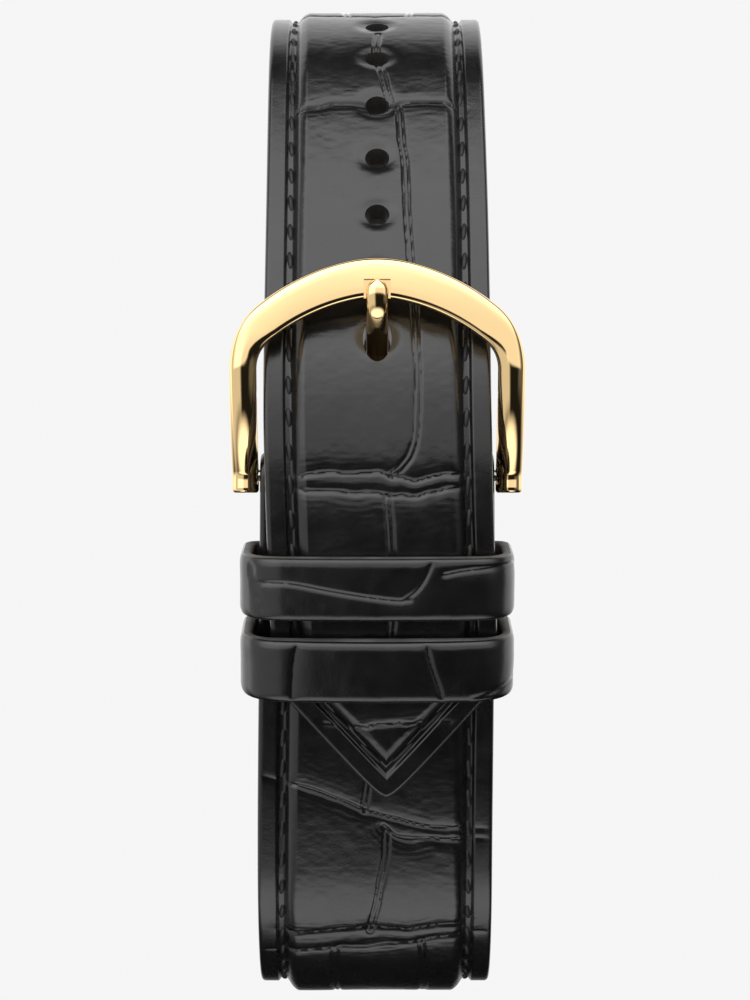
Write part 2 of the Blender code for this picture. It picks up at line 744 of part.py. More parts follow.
def case_parts(head):
    case = add_object("case_body", plate_mesh(CASE_WIDTH, CASE_LENGTH, 0.0, CASE_HEIGHT, 1.0), gold(), head)
    bevel = case.modifiers.new("softened_edges", "BEVEL")
    bevel.width = 0.5 * MM
    bevel.segments = 2
    bevel.limit_method = "ANGLE"
    bevel.angle_limit = math.radians(60)
    for side, word in ((-1, "low"), (1, "high")):
        gap = (CASE_LENGTH - BODY_LENGTH) / 2 + 2.0
        middle = side * (BODY_LENGTH / 2 + gap / 2)
        cut(case, f"lug_gap_{word}", box_mesh((LUG_GAP, gap, CASE_HEIGHT + 4), (0, middle, CASE_HEIGHT / 2)))
        cut(case, f"lug_holes_{word}",
            rod_mesh(LUG_BAR_SIZES[2] + 0.1, -9.25, 9.25, 12, "X", (side * LUG_BAR_SPAN / 2, LUG_BAR_HEIGHT)))
    cut(case, "case_back_opening", plate_mesh(*BACK_OPENING, -1.0, 0.62, 2.0))
    cut(case, "case_cavity", plate_mesh(*CAVITY, 0.3, 3.9, 1.6))
    cut(case, "case_window", plate_mesh(*WINDOW, 3.5, 5.0, 1.0))
    cut(case, "case_crystal_seat", plate_mesh(*CRYSTAL_SEAT, 4.65, 7.0, 1.2))
    cut(case, "case_tube_hole", rod_mesh(0.85, 7.0, 12.0, 16, "X", (0, STEM_HEIGHT)))
    back = add_object("case_back", plate_mesh(18.2, 30.0, -0.75, -0.1, 2.4), gold(), head)
    join(back, "case_back_rim", plate_mesh(17.0, 28.0, -0.3, 0.25, 1.9))
    cut(back, "case_back_hollow", plate_mesh(16.0, 27.0, -0.1, 2.0, 1.5))
    gasket = add_object("case_back_gasket", plate_mesh(17.0, 28.0, 0.3, 0.57, 1.9), rubber(), head)
    cut(gasket, "case_back_gasket_hole", plate_mesh(16.1, 27.1, 0.0, 2.0, 1.5))
    glass = material("crystal_glass", (0.93, 0.95, 0.96), 0.02)
    add_object("crystal", plate_mesh(15.2, 26.2, 4.75, 5.95, 0.8), glass, head)
    seal = add_object("crystal_gasket", plate_mesh(16.2, 27.2, 4.75, 5.35, 1.15), black_plastic(), head)
    cut(seal, "crystal_gasket_hole", plate_mesh(15.4, 26.4, 4.0, 6.0, 0.85))


def dial_and_hands(head):
    dial = add_object("dial", plate_mesh(15.6, 26.6, *DIAL_Z, 1.5),
                      material("champagne_dial", (0.82, 0.76, 0.62), 0.4, 0.3), head)
    for hour in range(12):
        angle = math.radians(30 * hour)
        reach = min(MARKER_FRAME[0] / max(abs(math.sin(angle)), 1e-6),
                    MARKER_FRAME[1] / max(abs(math.cos(angle)), 1e-6))
        bm = box_mesh(MARKER_SIZE, (0, reach, DIAL_Z[1]))
        bmesh.ops.rotate(bm, matrix=Matrix.Rotation(-angle, 3, "Z"), verts=bm.verts)
        join(dial, f"hour_marker_{hour}", bm)
    cut(dial, "dial_centre_hole", rod_mesh(0.85, 3.0, 4.5, 16))
    watch_hand("hour_hand", head, HOUR_HAND, HOUR_ANGLE)
    watch_hand("minute_hand", head, MINUTE_HAND, MINUTE_ANGLE)


def watch_hand(name, head, sizes, angle):
    """A long lozenge with a short tail, on a round boss."""
    length, half, z0, z1, hub = sizes
    bm = bmesh.new()
    outline = ((half, 0), (0.12, length), (-0.12, length), (-half, 0), (-0.25, -1.8), (0.25, -1.8))
    low = [bm.verts.new((x, y, z0)) for x, y in outline]
    top = bmesh.ops.extrude_face_region(bm, geom=[bm.faces.new(low)])["geom"]
    bmesh.ops.translate(bm, vec=(0, 0, z1 - z0), verts=[v for v in top if isinstance(v, bmesh.types.BMVert)])
    bmesh.ops.rotate(bm, matrix=Matrix.Rotation(-math.radians(angle), 3, "Z"), verts=bm.verts)
    hand = add_object(name, bm, gold(), head)
    join(hand, name + "_boss", rod_mesh(hub + 0.32, z0 - 0.02, z1 + 0.02, 18))
    cut(hand, name + "_hole", rod_mesh(hub, 3.5, 5.0, 16))


# ---------------------------------------------------------------- movement

def gear_mesh(teeth, module, z0, z1, backlash=0.0):
    """A flat wheel with straight-sided teeth; turned by half a tooth it meshes with its neighbour."""
    bm = bmesh.new()
    pitch = module * teeth / 2
    root = pitch - 1.15 * module
    tip = pitch + 0.85 * module
    points = []
    for i in range(teeth):
        middle = 2 * math.pi * i / teeth
        for radius, share in ((root, -0.33), (tip, -0.12 + backlash), (tip, 0.12 - backlash), (root, 0.33)):
            angle = middle + share * 2 * math.pi / teeth
            points.append((radius * math.cos(angle), radius * math.sin(angle), z0))
    face = bm.faces.new([bm.verts.new(p) for p in points])
    top = bmesh.ops.extrude_face_region(bm, geom=[face])["geom"]
    bmesh.ops.translate(bm, vec=(0, 0, z1 - z0), verts=[v for v in top if isinstance(v, bmesh.types.BMVert)])
    return bm


def turned(bm, degrees):
    bmesh.ops.rotate(bm, matrix=Matrix.Rotation(math.radians(degrees), 3, "Z"), verts=bm.verts)
    return bm


def wheel(name, head, centre, arbor, *gears):
    """A wheel on its arbor. arbor is (radius, z0, z1); each gear is (teeth, module, z0, z1, turn)."""
    place = (*centre, 0)
    ob = add_object(name, rod_mesh(*arbor, 12), brass(), head, place)
    for i, (teeth, module, z0, z1, turn) in enumerate(gears):
        join(ob, f"{name}_gear_{i + 1}", turned(gear_mesh(teeth, module, z0, z1), turn), place)
    return ob


def movement(head):
    holder = add_object("movement_holder", plate_mesh(15.5, 26.5, 1.6, 3.3, 1.4),
                        material("white_nylon", (0.85, 0.85, 0.82), 0.5), head)
    cut(holder, "movement_holder_opening", plate_mesh(14.0, 17.6, 0.0, 4.0, 2.3))
    cut(holder, "movement_holder_stem_cutter", box_mesh((3.0, 1.4, 1.4), (7.6, 0, STEM_HEIGHT + 0.2)))
    plate = add_object("main_plate", plate_mesh(13.6, 17.2, *PLATE_Z, 2.2), brass(), head)
    cut(plate, "main_plate_centre_hole", rod_mesh(0.55, 1.5, 4.0, 14))
    for name, centre in (("third", THIRD_AT), ("intermediate", INTERMEDIATE_AT), ("rotor", ROTOR_AT)):
        cut(plate, f"main_plate_{name}_hole", rod_mesh(0.2, 1.5, 4.0, 12, "Z", centre))
    join(plate, "minute_wheel_post", rod_mesh(0.22, 2.5, 3.3, 12, "Z", MINUTE_WHEEL_AT))
    bridge = add_object("train_bridge", plate_mesh(9.6, 7.0, 0.42, 0.75, 1.0), brass(), head, (-1.6, -3.7, 0))
    for name, centre in (("third", THIRD_AT), ("intermediate", INTERMEDIATE_AT), ("rotor", ROTOR_AT),
                         ("screw_left", (-5.6, -1.2)), ("screw_right", (2.4, -6.2))):
        cut(bridge, f"train_bridge_{name}_hole",
            rod_mesh(0.3 if "screw" in name else 0.2, 0.0, 1.5, 12, "Z", (centre[0] + 1.6, centre[1] + 3.7)),
            (-1.6, -3.7, 0))
    for word, centre in (("left", (-5.6, -1.2)), ("right", (2.4, -6.2))):
        screw = add_object(f"bridge_screw_{word}", rod_mesh(0.5, 0.05, 0.32, 14), steel(), head, (*centre, 0))
        join(screw, f"bridge_screw_{word}_shank", rod_mesh(0.22, 0.2, 2.2, 10), (*centre, 0))
        cut(screw, f"bridge_screw_{word}_slot", box_mesh((0.16, 1.4, 0.24), (0, 0, 0.05)), (*centre, 0))
    train(head)
    power(head)


def train(head):
    """Rotor, two train wheels, the minute arbor and the motion work that turns the hour hand."""
    wheel("rotor", head, ROTOR_AT, (0.14, 0.5, 2.75), (6, 0.1, 1.05, 1.45, 0.0))
    join(bpy.data.objects["rotor"], "rotor_magnet", rod_mesh(0.7, 1.62, 2.05, 16), (*ROTOR_AT, 0))
    wheel("intermediate_wheel", head, INTERMEDIATE_AT, (0.14, 0.5, 2.75),
          (36, 0.1, 1.15, 1.35, 5.0), (8, 0.13, 1.3, 1.75, 7.5))
    wheel("third_wheel", head, THIRD_AT, (0.14, 0.5, 2.75),
          (30, 0.13, 1.5, 1.68, 6.0), (8, 0.16, 1.6, 2.2, 0.0))
    wheel("minute_arbor", head, (0, 0), (0.34, 1.85, 4.5),
          (32, 0.16, 1.98, 2.14, 5.625), (12, 0.1, 2.95, 3.1, 0.0))
    minute = wheel("minute_wheel", head, MINUTE_WHEEL_AT, (0.42, 2.97, 3.32),
                   (36, 0.1, 2.97, 3.09, 5.0), (10, 0.096, 3.05, 3.3, 0.0))
    cut(minute, "minute_wheel_bore", rod_mesh(0.28, 2.0, 4.0, 12), (*MINUTE_WHEEL_AT, 0))
    hour = add_object("hour_wheel", rod_mesh(0.62, 3.18, 4.15, 16), brass(), head)
    join(hour, "hour_wheel_teeth", gear_mesh(40, 0.096, 3.18, 3.32))
    cut(hour, "hour_wheel_bore", rod_mesh(0.4, 2.0, 5.0, 14))


def power(head):
    """Battery, coil, stator and circuit, all on the back of the main plate."""
    add_object("battery", turned_mesh([(3.1, 1.9), (3.4, 1.8), (3.4, 0.7), (2.9, 0.5)], 24),
               steel(), head, (3.0, 5.0, 0))
    add_object("battery_clamp", box_mesh((1.2, 6.4, 0.18), (0, 0, 0.3)), steel(), head, (3.0, 5.0, 0))
    coil = add_object("coil", turned_mesh([(1.0, 3.8), (1.0, 3.5), (0.7, 3.4), (0.7, -3.4), (1.0, -3.5),
                                           (1.0, -3.8)], 14), material("copper", (0.7, 0.32, 0.15), 0.4, 1.0),
                      head, (-4.6, 4.0, 1.25))
    coil.rotation_euler = (math.radians(90), 0, 0)
    stator = add_object("stator", plate_mesh(2.6, 5.0, 1.6, 2.1, 0.4), steel(), head, (-4.5, -4.3, 0))
    cut(stator, "stator_rotor_hole", rod_mesh(0.9, 1.0, 3.0, 18), (*ROTOR_AT, 0))
    cut(stator, "stator_wheel_clearance", rod_mesh(1.1, 1.0, 3.0, 16), (*INTERMEDIATE_AT, 0))
    add_object("circuit_board", plate_mesh(4.2, 1.6, 1.75, 2.15, 0.2),
               material("circuit_green", (0.05, 0.2, 0.09), 0.5), head, (4.0, -7.3, 0))


def keyless(head):
    """Crown, stem and the lever that the stem's groove moves."""
    groove_low, groove_high = 4.3, 4.9
    stem = turned_mesh([(0.3, 10.5), (0.3, groove_high), (0.18, groove_high), (0.18, groove_low),
                        (0.3, groove_low), (0.3, 1.4)], 12, "X")
    place = (0, 0, STEM_HEIGHT)
    add_object("stem", stem, steel(), head, place)
    pinion = turned_mesh([(0.62, 3.7), (0.62, 2.9)], 14, "X")
    sliding = add_object("sliding_pinion", pinion, steel(), head, place)
    cut(sliding, "sliding_pinion_bore", rod_mesh(0.36, 1.0, 4.5, 12, "X"), place)
    tube = add_object("crown_tube", rod_mesh(0.8, 8.0, 10.3, 16, "X"), steel(), head, place)
    cut(tube, "crown_tube_bore", rod_mesh(0.42, 7.0, 12.0, 12, "X"), place)
    crown_ob = add_object("crown", fluted_crown(), gold(), head, place)
    cut(crown_ob, "crown_recess", rod_mesh(1.3, 9.0, 10.45, 16, "X"), place)
    cut(crown_ob, "crown_stem_socket", rod_mesh(0.36, 9.0, 10.7, 12, "X"), place)
    seal = add_object("crown_gasket", rod_mesh(1.2, 9.8, 10.3, 16, "X"), rubber(), head, place)
    cut(seal, "crown_gasket_bore", rod_mesh(0.88, 9.0, 12.0, 16, "X"), place)
    setting_lever(head)


def setting_lever(head):
    """A lever whose post rides in the stem's groove; it leans as far one way as it will swing the other."""
    lean = math.degrees(math.asin(LEVER_HALF_SWING / LEVER_REACH))
    lever = add_object("setting_lever", turned(box_mesh((0.7, 3.2, 0.16), (0, 1.2, 0.62)), lean), steel(),
                       head, LEVER_AT)
    post = turned(rod_mesh(0.16, 0.6, STEM_HEIGHT + 0.05, 10, "Z", (0, LEVER_REACH)), lean)
    join(lever, "setting_lever_post", post, LEVER_AT)
    join(lever, "setting_lever_pivot", rod_mesh(0.3, 0.6, 2.2, 12), LEVER_AT)


def fluted_crown(flutes=20):
    """A small crown with flutes round its rim."""
    rings = []
    for radius, deep, x in ((1.75, 0.0, 9.65), (1.9, 0.14, 9.85), (1.9, 0.14, 10.75), (1.6, 0.0, 11.1)):
        ring = []
        for i in range(flutes * 2):
            angle = math.pi * i / flutes
            r = radius - (deep if i % 2 else 0.0)
            ring.append(Vector((x, r * math.cos(angle), r * math.sin(angle))))
        rings.append(ring)
    return loft_mesh(rings)


def build():
    clear_scene()
    hole, buckle = straps()
    keeper("fixed_keeper", buckle, FIXED_KEEPER_START)
    keeper("free_keeper", buckle, FREE_KEEPER_START)
    pivot = buckle_pivot()
    buckle_frame(pivot)
    buckle_tongue(pivot, hole)
    spring_bar("buckle_bar", pivot, BUCKLE_BAR_SIZES)
    head = watch_head()
    case_parts(head)
    dial_and_hands(head)
    movement(head)
    keyless(head)
    for name, side in (("lug_bar_twelve", 1), ("lug_bar_six", -1)):
        spring_bar(name, head, LUG_BAR_SIZES, (0, side * LUG_BAR_SPAN / 2, LUG_BAR_HEIGHT))
    bpy.context.view_layer.update()


build()
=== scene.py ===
"""Looks of the buckled wristwatch: embossed leather, stitches, polished buckle, case and dial.

Lengths are written in millimetres and multiplied by MM where they reach Blender. The straps follow the same
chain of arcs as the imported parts, so every piece lies in the space of the solid it stands for.
"""
import math

import bmesh
import bpy
import numpy as np
from mathutils import Matrix, Vector


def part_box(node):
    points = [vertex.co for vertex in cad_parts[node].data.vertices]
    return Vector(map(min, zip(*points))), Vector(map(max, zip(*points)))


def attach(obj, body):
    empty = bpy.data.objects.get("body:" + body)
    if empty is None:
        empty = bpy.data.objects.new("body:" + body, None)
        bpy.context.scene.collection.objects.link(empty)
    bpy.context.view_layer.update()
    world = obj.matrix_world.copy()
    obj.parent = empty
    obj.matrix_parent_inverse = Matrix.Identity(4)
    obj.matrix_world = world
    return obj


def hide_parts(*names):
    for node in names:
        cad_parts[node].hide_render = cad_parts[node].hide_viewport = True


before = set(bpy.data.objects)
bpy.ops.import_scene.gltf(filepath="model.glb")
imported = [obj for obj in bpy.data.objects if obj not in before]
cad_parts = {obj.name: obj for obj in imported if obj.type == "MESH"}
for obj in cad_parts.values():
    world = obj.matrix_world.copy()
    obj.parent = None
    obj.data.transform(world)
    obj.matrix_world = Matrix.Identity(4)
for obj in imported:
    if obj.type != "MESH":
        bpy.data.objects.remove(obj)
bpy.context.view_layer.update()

MM = 0.001

# The loop's outer line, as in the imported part.
FRONT_Y = -26.0
BUCKLE_BAR = (5.0, 1.7)
LUG_BAR_DEPTH = 48.0
CASE_Z = -7.3
DIAL_FACE_Y = 23.92  # just above the dial, through the hour markers
LUG_BAR_SPAN = 36.4
FRONT_TILT = 5.0
FRONT_RADIUS = 100.0
FRONT_LENGTH = 28.6
BOTTOM_BEND = (18.0, 60.0)
CREST = (9.8, 25.0)
UPPER_FRONT = (21.4, 15.5)
TOP_BEND = (15.2, 52.5)
POINT_LENGTH = 8.0
TIP_BELOW_BAR = 22.4
HOLE_STRAP_WIDTH = 15.4
BUCKLE_STRAP_WIDTH = 16.0
LUG_STRAP_WIDTH = 17.6
HOLE_STRAP_THICKNESS = 2.6
BUCKLE_STRAP_THICKNESS = 2.8
LUG_THICKNESS = 3.8
UPPER_LEATHER = 0.8
LINING = 0.7
STRAP_GAP = 0.3
TURN_RETURN = 2.6
BUCKLE_TURN_RADIUS = 1.55
LUG_TURN_RADIUS = 1.9
HOLE_RADIUS = 0.85
HOLE_PITCH = 4.8
HOLE_COUNT = 7
TONGUE_HOLE = (0.97, 1.7)
STITCH_INSET = 1.72
STITCH_PITCH = 2.35
STITCH_HALF = 0.86


# ---------------------------------------------------------------- lines

class Line:
    """A chain of circular arcs in a plane; side is 1 where the inside of the loop is on the right."""

    def __init__(self, start, heading, arcs, side=1):
        self.side = side
        self.knots = []
        self.length = 0.0
        point = np.array(start, float)
        for length, turn in arcs:
            self.knots.append((self.length, point, heading, length, turn))
            point, heading = self.step(point, heading, length, turn, np.array([length]))
            point, heading = point[0], float(heading[0])
            self.length += length
        self.end, self.end_heading = point, heading

    @staticmethod
    def step(point, heading, length, turn, distance):
        turned = turn * distance / length
        middle = np.radians(heading + turned / 2)
        half = np.radians(turned / 2)
        chord = distance * np.sinc(half / np.pi)
        return point + chord[:, None] * np.stack([np.sin(middle), np.cos(middle)], 1), heading + turned

    def at(self, distances):
        distances = np.atleast_1d(np.asarray(distances, float))
        points = np.zeros((len(distances), 2))
        headings = np.zeros(len(distances))
        for i, (start, point, heading, length, turn) in enumerate(self.knots):
            last = i == len(self.knots) - 1
            inside = distances >= start - (1e9 if i == 0 else 0)
            if not last:
                inside &= distances < start + length
            if inside.any():
                points[inside], headings[inside] = self.step(point, heading, length, turn,
                                                             distances[inside] - start)
        return points, headings

    def inward(self, headings):
        angle = np.radians(headings)
        return self.side * np.stack([np.cos(angle), -np.sin(angle)], -1)


def closing_arc(point, heading, target, offset, side):
    angle = math.radians(heading)
    forward = np.array([math.sin(angle), math.cos(angle)])
    inward = side * np.array([math.cos(angle), -math.sin(angle)])
    chord = np.array(target) - (np.array(point) + offset * inward)
    half = math.atan2(chord @ inward, chord @ forward)
    radius = np.linalg.norm(chord) / (2 * math.sin(half)) + offset
    return 2 * half * radius, side * math.degrees(2 * half)


def front_frame():
    angle = math.radians(FRONT_TILT)
    inward = np.array([math.cos(angle), math.sin(angle)])
    start = np.array(BUCKLE_BAR) - BUCKLE_TURN_RADIUS * inward
    return start, inward, start + FRONT_RADIUS * inward


def lug_bar(upper):
    return LUG_BAR_DEPTH, CASE_Z + (0.5 if upper else -0.5) * LUG_BAR_SPAN


def hole_strap_line():
    """The line with its turn round the lug bar, and its length without the turn."""
    _, _, centre = front_frame()
    radius = FRONT_RADIUS + STRAP_GAP + HOLE_STRAP_THICKNESS
    down = math.degrees(TIP_BELOW_BAR / radius)
    angle = math.radians(FRONT_TILT + down)
    tip = centre - radius * np.array([math.cos(angle), math.sin(angle)])
    arcs = [(TIP_BELOW_BAR, down), CREST, UPPER_FRONT, TOP_BEND]
    line = Line(tip, -(FRONT_TILT + down), arcs)
    arcs.append(closing_arc(line.end, line.end_heading, lug_bar(True), LUG_TURN_RADIUS, 1))
    length = sum(arc[0] for arc in arcs)
    arcs += [(math.pi * LUG_TURN_RADIUS, 180.0), (TURN_RETURN, 0.0)]
    return Line(tip, -(FRONT_TILT + down), arcs), length


def buckle_strap_line():
    start, inward, _ = front_frame()
    heading = 180.0 - FRONT_TILT
    arcs = [(FRONT_LENGTH, -math.degrees(FRONT_LENGTH / FRONT_RADIUS)), (BOTTOM_BEND[0], -BOTTOM_BEND[1])]
    line = Line(start, heading, arcs, -1)
    arcs.append(closing_arc(line.end, line.end_heading, lug_bar(False), LUG_TURN_RADIUS, -1))
    length = sum(arc[0] for arc in arcs)
    angle = math.radians(heading)
    along = np.array([math.sin(angle), math.cos(angle)])
    first = start + 2 * BUCKLE_TURN_RADIUS * inward + TURN_RETURN * along
    opening = [(TURN_RETURN, 0.0), (math.pi * BUCKLE_TURN_RADIUS, -180.0)]
    closing = [(math.pi * LUG_TURN_RADIUS, -180.0), (TURN_RETURN, 0.0)]
    return Line(first, heading + 180.0, opening + arcs + closing, -1), length


def smooth(value, low, high):
    t = np.clip((np.asarray(value, float) - low) / (high - low), 0.0, 1.0)
    return t * t * (3 - 2 * t)


def in_loop(line, distances, across, inwards):
    """Points of the row frame, in metres, for arrays of distance along, place across and depth below."""
    points, headings = line.at(distances.ravel())
    points = points + inwards.ravel()[:, None] * line.inward(headings)
    return np.stack([across.ravel(), FRONT_Y + points[:, 0], points[:, 1]], 1) * MM


# ---------------------------------------------------------------- meshes

def mesh_object(name, points, faces, mats, smooth_angle=40.0):
    mesh = bpy.data.meshes.new(name)
    mesh.from_pydata([tuple(p) for p in points], [], faces)
    mesh.validate()
    bm = bmesh.new()
    bm.from_mesh(mesh)
    bmesh.ops.recalc_face_normals(bm, faces=bm.faces)
    bm.to_mesh(mesh)
    bm.free()
    for mat in mats:
        mesh.materials.append(mat)
    mesh.shade_smooth()
    mesh.set_sharp_from_angle(angle=math.radians(smooth_angle))
    ob = bpy.data.objects.new(name, mesh)
    bpy.context.scene.collection.objects.link(ob)
    return ob


def skin_faces(rows, columns, caps=True, loop=False):
    """Faces of a tube of rings; with loop the last ring joins the first."""
    faces = []
    for r in range(rows if loop else rows - 1):
        low = r * columns
        high = ((r + 1) % rows) * columns
        for c in range(columns):
            d = (c + 1) % columns
            faces.append((low + c, low + d, high + d, high + c))
    if caps and not loop:
        faces.append(tuple(range(columns)))
        faces.append(tuple(reversed(range((rows - 1) * columns, rows * columns))))
    return faces


def carve(ob, cutter):
    """Cuts cutter out of ob and applies the cut."""
    mod = ob.modifiers.new("cut", "BOOLEAN")
    mod.operation = "DIFFERENCE"
    mod.solver = "MANIFOLD"
    mod.object = cutter
    apply_modifiers(ob)
    bpy.data.objects.remove(cutter, do_unlink=True)


def apply_modifiers(ob):
    bpy.context.view_layer.update()
    graph = bpy.context.evaluated_depsgraph_get()
    mesh = bpy.data.meshes.new_from_object(ob.evaluated_get(graph))
    ob.modifiers.clear()
    old = ob.data
    ob.data = mesh
    bpy.data.meshes.remove(old)


def value_noise(u, v, cell, seed):
    """Smooth random heights between -1 and 1 on a lattice of the given cell size."""
    lattice = np.random.default_rng(seed).random((256, 64)) * 2 - 1
    a, b = u / cell, v / cell
    i, j = np.floor(a).astype(int), np.floor(b).astype(int)
    p, q = a - i, b - j
    p, q = p * p * (3 - 2 * p), q * q * (3 - 2 * q)
    def at(di, dj):
        return lattice[(i + di) % 256, (j + dj) % 64]
    low = at(0, 0) * (1 - p) + at(1, 0) * p
    high = at(0, 1) * (1 - p) + at(1, 1) * p
    return low * (1 - q) + high * q


def polyline_distance(u, v, lines):
    """Least distance from each point to any of the lines."""
    best = np.full(u.shape, 1e3)
    for line in lines:
        pts = np.array(line, float)
        for a, b in zip(pts, pts[1:]):
            d = b - a
            t = np.clip(((u - a[0]) * d[0] + (v - a[1]) * d[1]) / (d @ d), 0, 1)
            best = np.minimum(best, np.hypot(u - a[0] - t * d[0], v - a[1] - t * d[1]))
    return best


def rounded(line, passes=2):
    """Corner cutting, which turns a few points into a soft curve with the same ends."""
    pts = [np.array(p, float) for p in line]
    for _ in range(passes):
        out = [pts[0]]
        for a, b in zip(pts, pts[1:]):
            out += [0.75 * a + 0.25 * b, 0.25 * a + 0.75 * b]
        pts = out + [pts[-1]]
    return pts


def scales(u, v, rows, lines, seed=3, puff=0.10):
    """Depth of the crocodile embossing: pillowed rows with wrinkled valleys, split by fine double lines."""
    wobble_u = 0.30 * value_noise(u, v, 2.3, seed) + 0.10 * value_noise(u, v, 0.8, seed + 1)
    wobble_v = 0.10 * value_noise(u, v, 2.1, seed + 2) + 0.03 * value_noise(u, v, 0.7, seed + 3)
    row = polyline_distance(u + wobble_u, v, [rounded(c) for c in rows])
    line = polyline_distance(u, v + wobble_v, [rounded(c) for c in lines])
    valley = 0.13 * np.exp(-(row / 0.15) ** 2) + puff * np.exp(-(row / 0.55) ** 1.3)
    folds = 0.020 * np.cos(2 * np.pi * row / 0.42 + 2.0 * value_noise(u, v, 1.3, seed + 7))
    folds = folds * np.exp(-(row / 0.95) ** 2) * (0.5 + 0.5 * value_noise(u, v, 1.7, seed + 8))
    split = 0.10 * np.exp(-((line - 0.19) / 0.095) ** 2) + 0.035 * np.exp(-(line / 0.34) ** 2)
    fine = 0.006 * value_noise(u * 1.6, v * 0.7, 0.35, seed + 5) + 0.007 * value_noise(u, v, 0.9, seed + 4)
    swell = 0.030 * value_noise(u, v, 5.0, seed + 6)
    return valley + folds + split + fine + swell


# ---------------------------------------------------------------- materials

def new_material(name, color, roughness, metallic=0.0, **extra):
    mat = bpy.data.materials.new(name)
    mat.use_nodes = True
    shader = mat.node_tree.nodes["Principled BSDF"]
    shader.inputs["Base Color"].default_value = (*color, 1.0)
    shader.inputs["Roughness"].default_value = roughness
    shader.inputs["Metallic"].default_value = metallic
    for key, value in extra.items():
        shader.inputs[key.replace("_", " ")].default_value = value
    return mat, shader


def add_node(mat, kind, **values):
    node = mat.node_tree.nodes.new(kind)
    for key, value in values.items():
        if key in node.inputs:
            node.inputs[key].default_value = value
        else:
            setattr(node, key, value)
    return node


def object_coords(mat, scale=(1, 1, 1)):
    coords = add_node(mat, "ShaderNodeTexCoord")
    mapping = add_node(mat, "ShaderNodeMapping", Scale=scale)
    mat.node_tree.links.new(coords.outputs["Object"], mapping.inputs["Vector"])
    return mapping.outputs["Vector"]


def noise_node(mat, vector, scale, detail=3.0, rough=0.5):
    node = add_node(mat, "ShaderNodeTexNoise", Scale=scale, Detail=detail, Roughness=rough)
    mat.node_tree.links.new(vector, node.inputs["Vector"])
    return node.outputs["Fac"]


def cell_node(mat, vector, scale, feature="DISTANCE_TO_EDGE"):
    node = add_node(mat, "ShaderNodeTexVoronoi", Scale=scale, feature=feature)
    mat.node_tree.links.new(vector, node.inputs["Vector"])
    return node.outputs["Distance"]


def ramp(mat, value, stops):
    node = add_node(mat, "ShaderNodeValToRGB")
    while len(node.color_ramp.elements) < len(stops):
        node.color_ramp.elements.new(0.5)
    for element, (place, color) in zip(node.color_ramp.elements, stops):
        element.position = place
        element.color = (*color, 1.0) if isinstance(color, tuple) else (color, color, color, 1.0)
    mat.node_tree.links.new(value, node.inputs["Fac"])
    return node.outputs["Color"]


def bump(mat, shader, height, strength, distance, before=None):
    node = add_node(mat, "ShaderNodeBump", Strength=strength, Distance=distance)
    mat.node_tree.links.new(height, node.inputs["Height"])
    if before is not None:
        mat.node_tree.links.new(before, node.inputs["Normal"])
    mat.node_tree.links.new(node.outputs["Normal"], shader.inputs["Normal"])
    return node.outputs["Normal"]


def link(mat, output, socket):
    mat.node_tree.links.new(output, socket)


def croc_leather():
    """Glazed black leather: hair-fine grain, soft colour change and uneven gloss."""
    mat, shader = new_material("croc_leather", (0.004, 0.004, 0.004), 0.2)
    shader.inputs["Specular IOR Level"].default_value = 0.5
    shader.inputs["Coat Weight"].default_value = 0.3
    shader.inputs["Coat Roughness"].default_value = 0.2
    vector = object_coords(mat)
    link(mat, ramp(mat, noise_node(mat, vector, 260.0, 4.0), [(0.3, (0.0025, 0.0025, 0.0026)),
                                                             (0.75, (0.006, 0.0058, 0.006))]),
         shader.inputs["Base Color"])
    link(mat, ramp(mat, noise_node(mat, vector, 700.0, 5.0), [(0.25, 0.19), (0.8, 0.31)]),
         shader.inputs["Roughness"])
    grain = bump(mat, shader, cell_node(mat, vector, 3300.0), 0.16, 0.00004)
    bump(mat, shader, noise_node(mat, vector, 1500.0, 6.0, 0.65), 0.18, 0.00006, grain)
    return mat


def plain_leather(name, low, high, roughness, grain_scale=4200.0):
    """Smooth calf with fine pores."""
    mat, shader = new_material(name, high, roughness)
    vector = object_coords(mat)
    link(mat, ramp(mat, noise_node(mat, vector, 420.0, 6.0), [(0.3, low), (0.7, high)]),
         shader.inputs["Base Color"])
    grain = bump(mat, shader, cell_node(mat, vector, grain_scale), 0.35, 0.00006)
    bump(mat, shader, noise_node(mat, vector, 900.0, 5.0), 0.25, 0.0001, grain)
    return mat


def polished_metal(name, color, roughness, scratch=0.04, brushed=None):
    """Polished plating with the faintest hairlines; brushed is the stretch of a brushed grain."""
    mat, shader = new_material(name, color, roughness, 1.0)
    vector = object_coords(mat, brushed or (1, 1, 1))
    link(mat, ramp(mat, noise_node(mat, vector, 500.0, 6.0, 0.6),
                   [(0.3, roughness * 0.8), (0.75, roughness * 1.35 + 0.01)]), shader.inputs["Roughness"])
    link(mat, ramp(mat, noise_node(mat, vector, 130.0, 3.0),
                   [(0.3, tuple(0.96 * c for c in color)), (0.7, color)]), shader.inputs["Base Color"])
    bump(mat, shader, noise_node(mat, vector, 2600.0 if brushed is None else 900.0, 3.0), scratch, 0.00002)
    return mat


def thread_material():
    """Waxed thread: a twist shown by a fine stripe."""
    mat, shader = new_material("waxed_thread", (0.006, 0.006, 0.006), 0.5)
    vector = object_coords(mat)
    link(mat, ramp(mat, noise_node(mat, vector, 1800.0, 4.0), [(0.3, (0.004, 0.004, 0.004)),
                                                              (0.7, (0.012, 0.012, 0.012))]),
         shader.inputs["Base Color"])
    bump(mat, shader, noise_node(mat, vector, 6000.0, 3.0), 0.5, 0.00006)
    return mat


